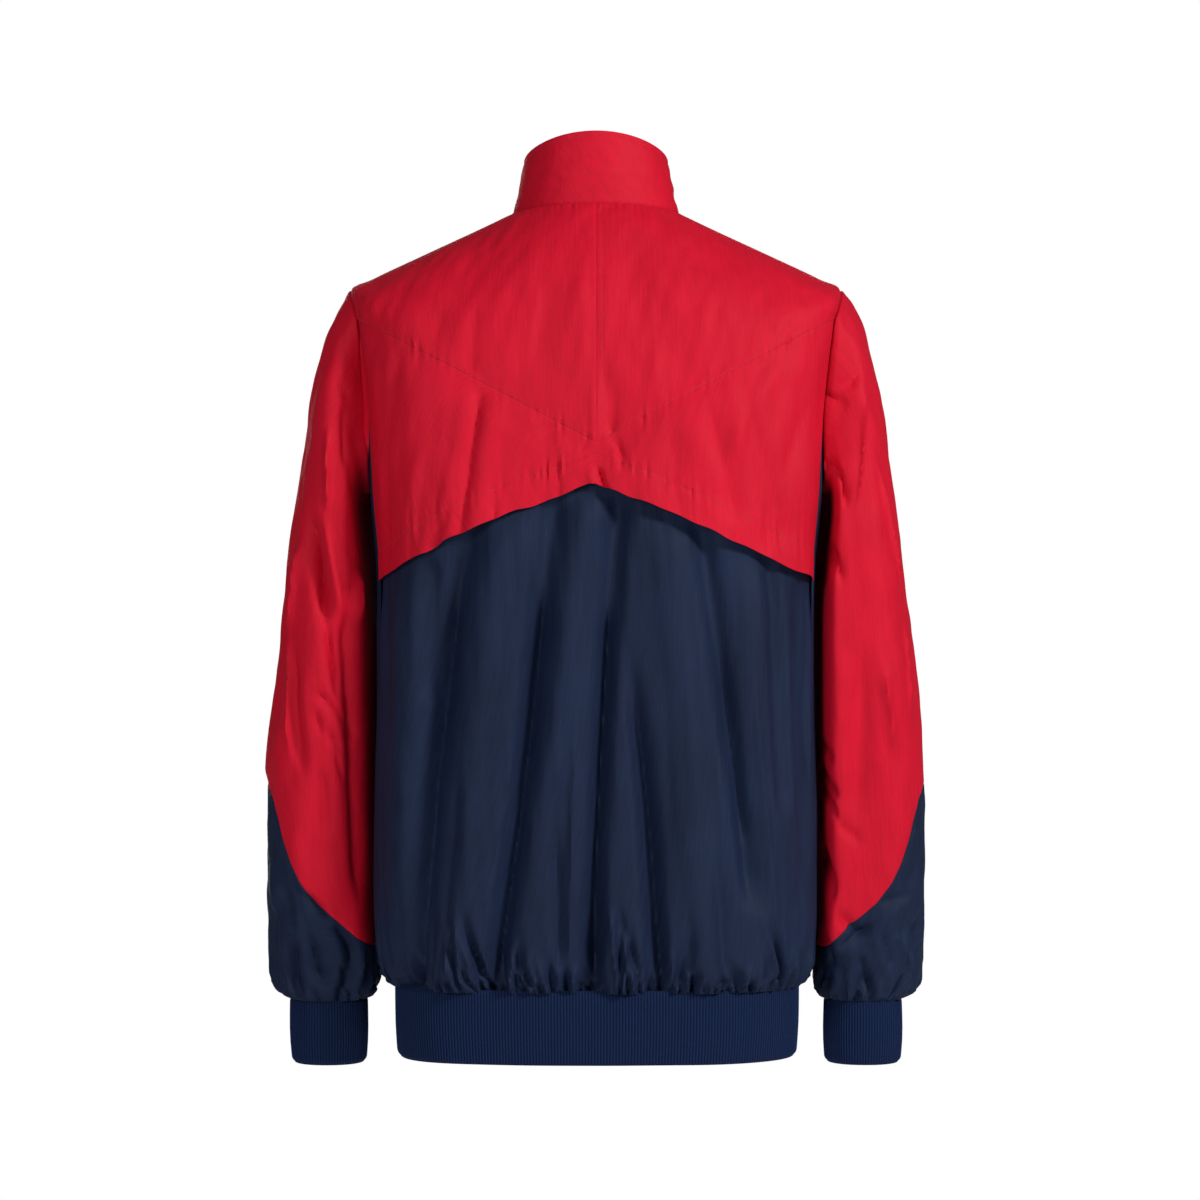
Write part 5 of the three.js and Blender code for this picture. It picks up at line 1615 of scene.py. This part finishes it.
@dataclass
class Sleeves:
    """Both sleeves, each of a red upper and a navy lower part."""

    wardrobe: Wardrobe
    columns: int = 150
    seam_room: float = 0.12
    press_depths: tuple[float, ...] = (238, 290, 330, 640, 662)
    press: tuple[float, ...] = (9, 8, 5.2, 4.4, 0)
    corner_turn: float = 2.65
    fold_share: float = 1.25
    tuck: float = 1.4

    def build(self) -> None:
        """Makes the four pieces."""
        dense = np.linspace(0, SLEEVE_END, 281)
        middle = (SLEEVE.ring_points(np.zeros_like(dense), dense) + SLEEVE.ring_points(np.full_like(dense, np.pi), dense)) / 2
        outer = SLEEVE.ring_points(np.zeros_like(dense), dense)
        run = (np.linalg.norm(np.diff(middle, axis=0), axis=-1) + np.linalg.norm(np.diff(outer, axis=0), axis=-1)) / 2
        self.places, self.run = dense, np.concatenate([[0], np.cumsum(run)])
        for side in Side:
            self.part(side, "upper")
            self.part(side, "lower")

    def part(self, side: Side, which: str) -> None:
        """Makes the upper or the lower part of a sleeve.

        Args:
            side: The wearer's side.
            which: "upper" or "lower".
        """
        step = np.linspace(0, ARMHOLE.steps, self.columns + 1)
        seam = np.interp(SLEEVE.seam_place(step), self.places, self.run)
        end = self.run[-1]
        if which == "upper":
            shares = spaced(float(seam.mean()), SHELL_SPACING, SEWN, SEWN)[:, None]
            run = shares * (seam - self.seam_room)
        else:
            shares = spaced(end - float(seam.mean()), 2.6, SEWN, GATHERED)[:, None]
            run = seam + self.seam_room + shares * (end - seam - self.seam_room)
        place = np.interp(run, self.run, self.places)
        step_grid = step[None] + 0 * place
        points = SLEEVE.points(step_grid, place)
        turn, _, _ = SLEEVE.step_turns(step_grid)
        aside = (turn - self.corner_turn + np.pi) % (2 * np.pi) - np.pi
        corner = np.exp(-((aside / 0.55) ** 2)) * ease(-150, -240, points[..., 2]) * ease(-664, -610, points[..., 2])
        points[..., 1] += SLEEVE_CORNER[side] * corner
        cloth = Cloth(points, closed=True)
        for wrap in (-1, 0, 1):
            arc = (turn + 2 * np.pi * wrap) * SLEEVE_ARC
            cloth.lift += self.fold_share * fold_depth(SLEEVE_FOLDS[side], arc, cloth.z)
        inside = ease(-1.0, -0.55, np.cos(turn))
        mirrored = cloth.points * np.array([side.value, 1, 1])
        upper = which == "upper"
        seams = (cloth.down, cloth.up) if upper else (cloth.down,)
        if upper:
            relief = 1.3 * crumple(mirrored, 34, 9, 2.4) + 0.45 * crumple(mirrored, 14, 2, 2)
        else:
            relief = 2.4 * crumple(mirrored, 26, 9, 1.2) + 0.8 * crumple(mirrored, 11, 2, 1.2)
            relief *= 1 - 0.75 * ease(0.72, 0.96, np.cos(turn))
        cloth.lift += relief * inside * cloth.calm(14, *seams)
        beside_body = np.exp(-(((cloth.points[..., 1] + 30) / 24) ** 2)) * (1 - inside)
        press = np.interp(-cloth.z, self.press_depths, self.press) * beside_body
        cloth.lift += press * (ease(0, 8, cloth.down) if upper else 1)
        if upper:
            cloth.lift += 2.2 * ease(0, 2, cloth.down) * np.exp(-cloth.down / 30) * ease(-0.2, 0.7, np.cos(turn))
        cloth.sew_edges(0.35, *seams)
        if upper:
            cloth.tuck_row(0, 2, self.tuck)
        if upper:
            cloth.pucker(cloth.down, cloth.across, 0.2, 9, 51)
            cloth.pucker(cloth.up, cloth.points[..., 1], 0.25, 8, 52)
        else:
            cloth.pucker(cloth.down, cloth.points[..., 1], 0.25, 8, 52)
            gather_hem(cloth, 61 + side.value, 0.8, 9.5)
        cloth.lift[:, -1] = cloth.lift[:, 0]
        cloth.points[..., 0] *= side.value
        if side is Side.RIGHT:
            cloth.points = cloth.points[:, ::-1].copy()
            cloth.lift = cloth.lift[:, ::-1].copy()
        name = f"sleeve_{which}_{side.word}"
        slot, material = ("red_shell", self.wardrobe.red) if upper else ("navy_shell", self.wardrobe.navy)
        lay_sheet(cloth, SHELL, Dressing(f"cloth_{name}", (name,), slot, material))


@dataclass
class Bands:
    """The ribbed hem band and cuffs."""

    wardrobe: Wardrobe
    rib_depth: float = 0.55
    tuck: float = 3.2
    lines_per_rib: int = 4

    def build(self) -> None:
        """Makes the three bands."""
        self.hem()
        for side in Side:
            self.cuff(side)

    def raise_ribs(self, cloth: Cloth, ribs: int) -> None:
        """Lifts the cloth into ribs and rounds its lower edge.

        Args:
            cloth: The band, whose columns divide evenly among its ribs.
            ribs: Number of ribs round the band.
        """
        columns = cloth.points.shape[1] - 1
        phase = 2 * np.pi * ribs * np.arange(columns + 1) / columns
        ends = ease(0, 3, cloth.up)
        cloth.lift += self.rib_depth * (np.cos(phase)[None] - 1) / 2 * (0.35 + 0.65 * ends)
        cloth.lift -= 1.1 * np.exp(-((cloth.up / 1.6) ** 2)) + 0.6 * np.exp(-((cloth.down / 1.6) ** 2))
        cloth.lift -= 1.3 * ease(6, 0, cloth.up) ** 2
        cloth.tuck_row(0, 3, self.tuck)
        cloth.across = np.arange(columns + 1)[None] * ribs * RIB_PITCH / columns + 0 * cloth.down

    def hem(self) -> None:
        """Makes the hem band, open at the zip."""
        columns = HEM_RIBS * self.lines_per_rib
        shares = spaced(60, 10.0, (0, 0.2, 1, 2.4), (0, 0.5, 1.2, 2.4, 4, 6.5))[:, None]
        dense = np.linspace(-HALF_TURN, HALF_TURN, 3601)
        line = HEM.points(HEM.beside_zip(dense, 0 * dense), 0 * dense)
        run = np.concatenate([[0], np.cumsum(np.linalg.norm(np.diff(line, axis=0), axis=-1))])
        angle = np.interp(np.linspace(0, run[-1], columns + 1), run, dense)[None]
        level = HEM.last * shares + 0 * angle
        angle = HEM.beside_zip(angle + 0 * level, level)
        cloth = Cloth(HEM.points(angle, level))
        cloth.lift += 0.7 * crumple(cloth.points, 60, 10, 2)
        self.raise_ribs(cloth, HEM_RIBS)
        dressing = Dressing("knit_hem_band", ("hem_band",), "navy_rib", self.wardrobe.rib)
        lay_sheet(cloth, RIB_KNIT, dressing)

    def cuff(self, side: Side) -> None:
        """Makes one cuff."""
        columns = CUFF_RIBS * self.lines_per_rib
        shares = spaced(54, 10.0, (0, 0.2, 1, 2.4), (0, 0.5, 1.2, 2.4, 4, 6.5))[:, None]
        dense = np.linspace(0, 2 * np.pi, 1441)
        line = CUFF.points(dense, 0 * dense)
        run = np.concatenate([[0], np.cumsum(np.linalg.norm(np.diff(line, axis=0), axis=-1))])
        turn = np.interp(np.linspace(0, run[-1], columns + 1), run, dense)[None]
        level = CUFF.last * shares + 0 * turn
        points = CUFF.points(turn + 0 * level, level) * np.array([side.value, 1, 1])
        cloth = Cloth(points if side is Side.RIGHT else points[:, ::-1].copy(), closed=True)
        cloth.lift += 0.5 * crumple(cloth.points, 50, 10, 2)
        self.raise_ribs(cloth, CUFF_RIBS)
        name = f"cuff_{side.word}"
        lay_sheet(
            cloth, RIB_KNIT, Dressing(f"knit_{name}", (name,), "navy_rib", self.wardrobe.rib)
        )


@dataclass
class Zip:
    """The closed front zip: two tapes, moulded teeth, the slider and its pull tab."""

    wardrobe: Wardrobe
    tape_depth: float = 0.3
    tape_cloth: float = 0.9
    tape_gap: float = 0.3
    tape_width: float = 12.0
    tape_tuck: float = 2.0
    tooth_pitch: float = 2.6
    tooth_reach: float = 2.6
    tooth_height: float = 1.2
    chain_start: float = 3.0
    plate: tuple[float, float, float] = (5.0, 2.2, 14.0)
    plate_front: float = 2.9
    plate_top: float = 4.5
    ear_inside: float = 2.6
    ear_outside: float = 3.9
    ear_front: float = -1.6
    pin_radius: float = 0.8
    tab_half_width: float = 3.5
    neck_half_width: float = 2.2
    neck_length: float = 9.0
    tab_length: float = 30.0
    tab_thickness: float = 1.5
    eye_radius: float = 2.3

    def build(self) -> None:
        """Makes the zip's four pieces."""
        levels = (
            (COLLAR, np.linspace(0, COLLAR.last - 0.03, 14)),
            (BODY, np.linspace(0.1, HEM_LEVEL - 0.05, 90)),
            (HEM, np.linspace(0.1, HEM.last, 10)),
        )
        self.line = np.concatenate([form.points(np.full_like(level, HALF_TURN), level) for form, level in levels])
        self.line[:, 0] = 0
        lean = math.atan2(*(self.line[0] - self.line[6])[1:])
        self.place = Matrix.Translation([value * MM for value in PIN_PLACE]) @ Matrix.Rotation(-lean, 4, "X")
        for side in Side:
            self.tape(side)
        self.chain()
        self.slider()
        self.pull_tab()

    def tape(self, side: Side) -> None:
        """Makes one tape, from its sewn edge to the middle of the chain."""
        reach = side.value * np.array([self.tape_gap, 2.7, 3.1, 4.6, 6.2, ZIP_HALF_WIDTH, 8.6, self.tape_width])
        reach = np.sort(reach)[::-1]
        points = self.line[:, None] + np.array([1.0, 0, 0]) * reach[None, :, None]
        cloth = Cloth(points)
        cloth.lift -= self.tape_depth + self.tape_tuck * ease(ZIP_HALF_WIDTH, 8.6, np.abs(cloth.x))
        cloth.lift += 0.2 * np.exp(-((np.abs(cloth.x) - 2.9) / 0.5) ** 2)
        dressing = Dressing(f"zip_tape_{side.word}", ("front_zip",), "zip_tape", self.wardrobe.tape)
        lay_sheet(cloth, self.tape_cloth, dressing)

    def chain(self) -> None:
        """Models one tooth and lays it along both tapes, each side half a pitch from the other."""
        reach, half = self.tooth_reach, self.tooth_height / 2
        tooth = add_block((0.7, -0.42, -half), (reach, 0.42, half))
        pick_faces(tooth, lambda middle: middle.x < 0.75)
        extrude((-0.45, 0, 0), (1, 1.45, 1))
        extrude((-0.6, 0, 0))
        extrude((-0.35, 0, 0), (1, 0.6, 0.8))
        bpy.ops.object.mode_set(mode="OBJECT")
        apply_modifier(tooth, "BEVEL", width=0.14, segments=1, limit_method="ANGLE", angle_limit=math.radians(40))
        down = np.diff(self.line, axis=0)
        run = np.concatenate([[0], np.cumsum(np.linalg.norm(down, axis=-1))])
        frames = []
        for side in Side:
            start = self.chain_start + (side is Side.RIGHT) * self.tooth_pitch / 2
            places = np.arange(start, run[-1] - 1, self.tooth_pitch)
            middle = Sewing.between(run, self.line, places)
            along = Sewing.between(run, self.line, places + 0.5) - Sewing.between(run, self.line, places - 0.5)
            along /= np.linalg.norm(along, axis=-1, keepdims=True)
            across = np.zeros_like(along) + np.array([1.0, 0, 0])
            out = np.cross(along, across)
            frames.append(np.stack([side.value * across, -side.value * along, out, middle + out * 0.2], axis=1))
        copy_to(tooth, np.concatenate(frames))
        smooth(tooth, 30)
        Dressing("zip_teeth", ("front_zip",), "zip_tape", self.wardrobe.teeth).put_on(tooth)

    def settle(self, piece: bpy.types.Object) -> None:
        """Moves a piece from the pin's own space in millimetres to its place."""
        select_only(piece)
        piece.matrix_world = self.place @ Matrix.Scale(MM, 4)
        bpy.ops.object.transform_apply(location=True, rotation=True, scale=True)

    def slider(self) -> None:
        """Makes the slider: a tapered plate with flanges, two ears and the pin."""
        half, thick, length = self.plate
        low = self.plate_top - length
        plate = add_block((-half, self.plate_front, low), (half, self.plate_front + thick, self.plate_top))
        pick_faces(plate, lambda middle: middle.z < low + 0.1)
        bpy.ops.transform.resize(value=(0.66, 1, 1))
        pick_faces(plate, lambda middle: middle.y < self.plate_front + 0.1)
        bpy.ops.mesh.inset(thickness=0.9, depth=0)
        bpy.ops.transform.translate(value=(0, -0.25, 0))
        bpy.ops.object.mode_set(mode="OBJECT")
        pieces = [plate]
        back = self.plate_front + thick
        for sign in (-1, 1):
            ends = sorted((sign * 3.25, sign * half))
            flange = add_block((ends[0], back - 0.2, low + 3.5), (ends[1], back + 1.35, self.plate_top))
            ends = sorted((sign * self.ear_inside, sign * self.ear_outside))
            ear = add_block((ends[0], self.ear_front, -2.2), (ends[1], self.plate_front + 0.2, 2.2))
            pick_faces(ear, lambda middle: middle.y < self.ear_front + 0.1)
            bpy.ops.transform.resize(value=(1, 1, 0.55))
            bpy.ops.object.mode_set(mode="OBJECT")
            pieces += [flange, ear]
        for piece in pieces:
            apply_modifier(piece, "BEVEL", width=0.5, segments=3, limit_method="ANGLE", angle_limit=math.radians(30))
        pieces.append(add_bar(self.pin_radius, self.ear_outside))
        slider = join(pieces)
        smooth(slider, 35)
        self.settle(slider)
        Dressing("zip_slider_body", ("zip_slider",), "zip_metal", self.wardrobe.zinc).put_on(slider)

    def pull_tab(self) -> None:
        """Makes the pull tab: a barrel eye round the pin, a neck and a hollowed grip."""
        half, thin = self.tab_half_width, self.tab_thickness / 2
        grip = add_block((-half, -thin, -self.tab_length), (half, thin, -self.neck_length))
        pick_faces(grip, lambda middle: middle.z > -self.neck_length - 0.1)
        extrude((0, 0, 1.6), (self.neck_half_width / half, 1, 1))
        extrude((0, 0, self.neck_length - 1.6 - 1.7))
        bpy.ops.object.mode_set(mode="OBJECT")
        pick_faces(grip, lambda middle: abs(middle.y) > thin - 0.1 and middle.z < -self.neck_length)
        bpy.ops.mesh.inset(thickness=1.0, depth=0, use_individual=True)
        bpy.ops.mesh.inset(thickness=0.3, depth=-0.3, use_individual=True)
        bpy.ops.object.mode_set(mode="OBJECT")
        apply_modifier(grip, "BEVEL", width=0.3, segments=2, limit_method="ANGLE", angle_limit=math.radians(50))
        eye = add_bar(self.eye_radius, self.neck_half_width, 28, "NOTHING")
        apply_modifier(eye, "SOLIDIFY", thickness=self.eye_radius - self.pin_radius - 0.3, offset=-1)
        apply_modifier(eye, "BEVEL", width=0.25, segments=2, limit_method="ANGLE", angle_limit=math.radians(50))
        tab = join([grip, eye])
        smooth(tab, 35)
        self.settle(tab)
        dressing = Dressing("zip_pull", ("zip_pull_tab",), "zip_metal", self.wardrobe.zinc, body="pull_tab")
        dressing.put_on(tab)


@dataclass(frozen=True)
class SoftBox:
    """A large soft studio light aimed at a point."""

    name: str
    place: tuple[float, float, float]
    size: float
    watts: float
    aim: tuple[float, float, float] = (0.0, 0.0, -0.3)

    def build(self) -> None:
        """Makes the light."""
        data = bpy.data.lights.new(self.name, "AREA")
        data.shape = "SQUARE"
        data.size = self.size
        data.energy = self.watts
        light = bpy.data.objects.new(self.name, data)
        bpy.context.scene.collection.objects.link(light)
        light.location = self.place
        direction = Vector(self.aim) - Vector(self.place)
        light.rotation_euler = direction.to_track_quat("-Z", "Y").to_euler()


@dataclass
class Studio:
    """Camera, lights and a plain pale floor."""

    camera_distance: float = 3.2
    camera_height: float = -0.333
    camera_shift: float = -0.0034
    field: float = 1.032
    sensor: float = 36.0
    floor_height: float = -1.45
    floor_radius: float = 3.5
    ambient: float = 0.1

    def build(self) -> None:
        """Makes everything round the jacket."""
        self.camera()
        self.floor()
        self.world()
        for box in (
            SoftBox("key light", (-2.1, 1.75, 0.85), 0.55, 64),
            SoftBox("fill light", (1.3, 3.0, 0.35), 1.0, 37),
            SoftBox("top light", (-0.6, 1.5, 2.2), 1.2, 9),
            SoftBox("front light", (0.3, -3.0, -0.2), 2.0, 62),
        ):
            box.build()

    def camera(self) -> None:
        """Places the camera behind the jacket, level with the waist."""
        data = bpy.data.cameras.new("camera")
        data.sensor_width = self.sensor
        data.lens = self.sensor * self.camera_distance / self.field
        camera = bpy.data.objects.new("camera", data)
        bpy.context.scene.collection.objects.link(camera)
        camera.location = (self.camera_shift, self.camera_distance, self.camera_height)
        camera.rotation_euler = (math.radians(90), 0, math.radians(180))
        bpy.context.scene.camera = camera

    def floor(self) -> None:
        """Lays a round pale floor where the wearer would stand."""
        bpy.ops.object.select_all(action="DESELECT")
        bpy.ops.mesh.primitive_circle_add(
            vertices=96, radius=self.floor_radius, fill_type="NGON", location=(0, 0, self.floor_height)
        )
        floor = bpy.context.object
        floor.name = "studio_floor"
        material, tree = new_material("matt studio paper")
        place = add_node(tree, "ShaderNodeTexCoord").outputs["Object"]
        grain = noise(tree, place, (30, 30, 30), 2)
        rough = add_node(tree, "ShaderNodeMapRange", {"To Min": 0.85, "To Max": 0.95}, {"Value": grain})
        shader = add_node(
            tree, "ShaderNodeBsdfPrincipled", {"Base Color": linear("#f4f4f4")}, {"Roughness": rough.outputs[0]}
        )
        finish_material(tree, shader)
        floor.data.materials.append(material)

    def world(self) -> None:
        """Makes a white backdrop that lights the jacket only softly."""
        world = bpy.data.worlds.new("white studio")
        bpy.context.scene.world = world
        world.use_nodes = True
        tree = world.node_tree
        tree.nodes.clear()
        seen = add_node(tree, "ShaderNodeBackground", {"Color": (1, 1, 1, 1), "Strength": 1.0})
        light = add_node(tree, "ShaderNodeBackground", {"Color": (1, 1, 1, 1), "Strength": self.ambient})
        path = add_node(tree, "ShaderNodeLightPath")
        mixed = add_node(
            tree, "ShaderNodeMixShader",
            links={"0": path.outputs["Is Camera Ray"], "1": light.outputs[0], "2": seen.outputs[0]},
        )
        add_node(tree, "ShaderNodeOutputWorld", links={"Surface": mixed.outputs[0]})
        scene = bpy.context.scene
        scene.view_settings.view_transform = "Standard"
        scene.view_settings.look = "None"


def main() -> None:
    """Builds the studio and then the jacket, piece by piece."""
    logging.basicConfig(level=logging.INFO, format="%(message)s")
    Studio().build()
    wardrobe = Wardrobe()
    for section in (
        BackSection(wardrobe),
        FrontSection(wardrobe),
        Collar(wardrobe),
        Sleeves(wardrobe),
        Bands(wardrobe),
        Zip(wardrobe),
    ):
        section.build()
        LOG.info("%s done", type(section).__name__)


if __name__ == "__main__":
    main()
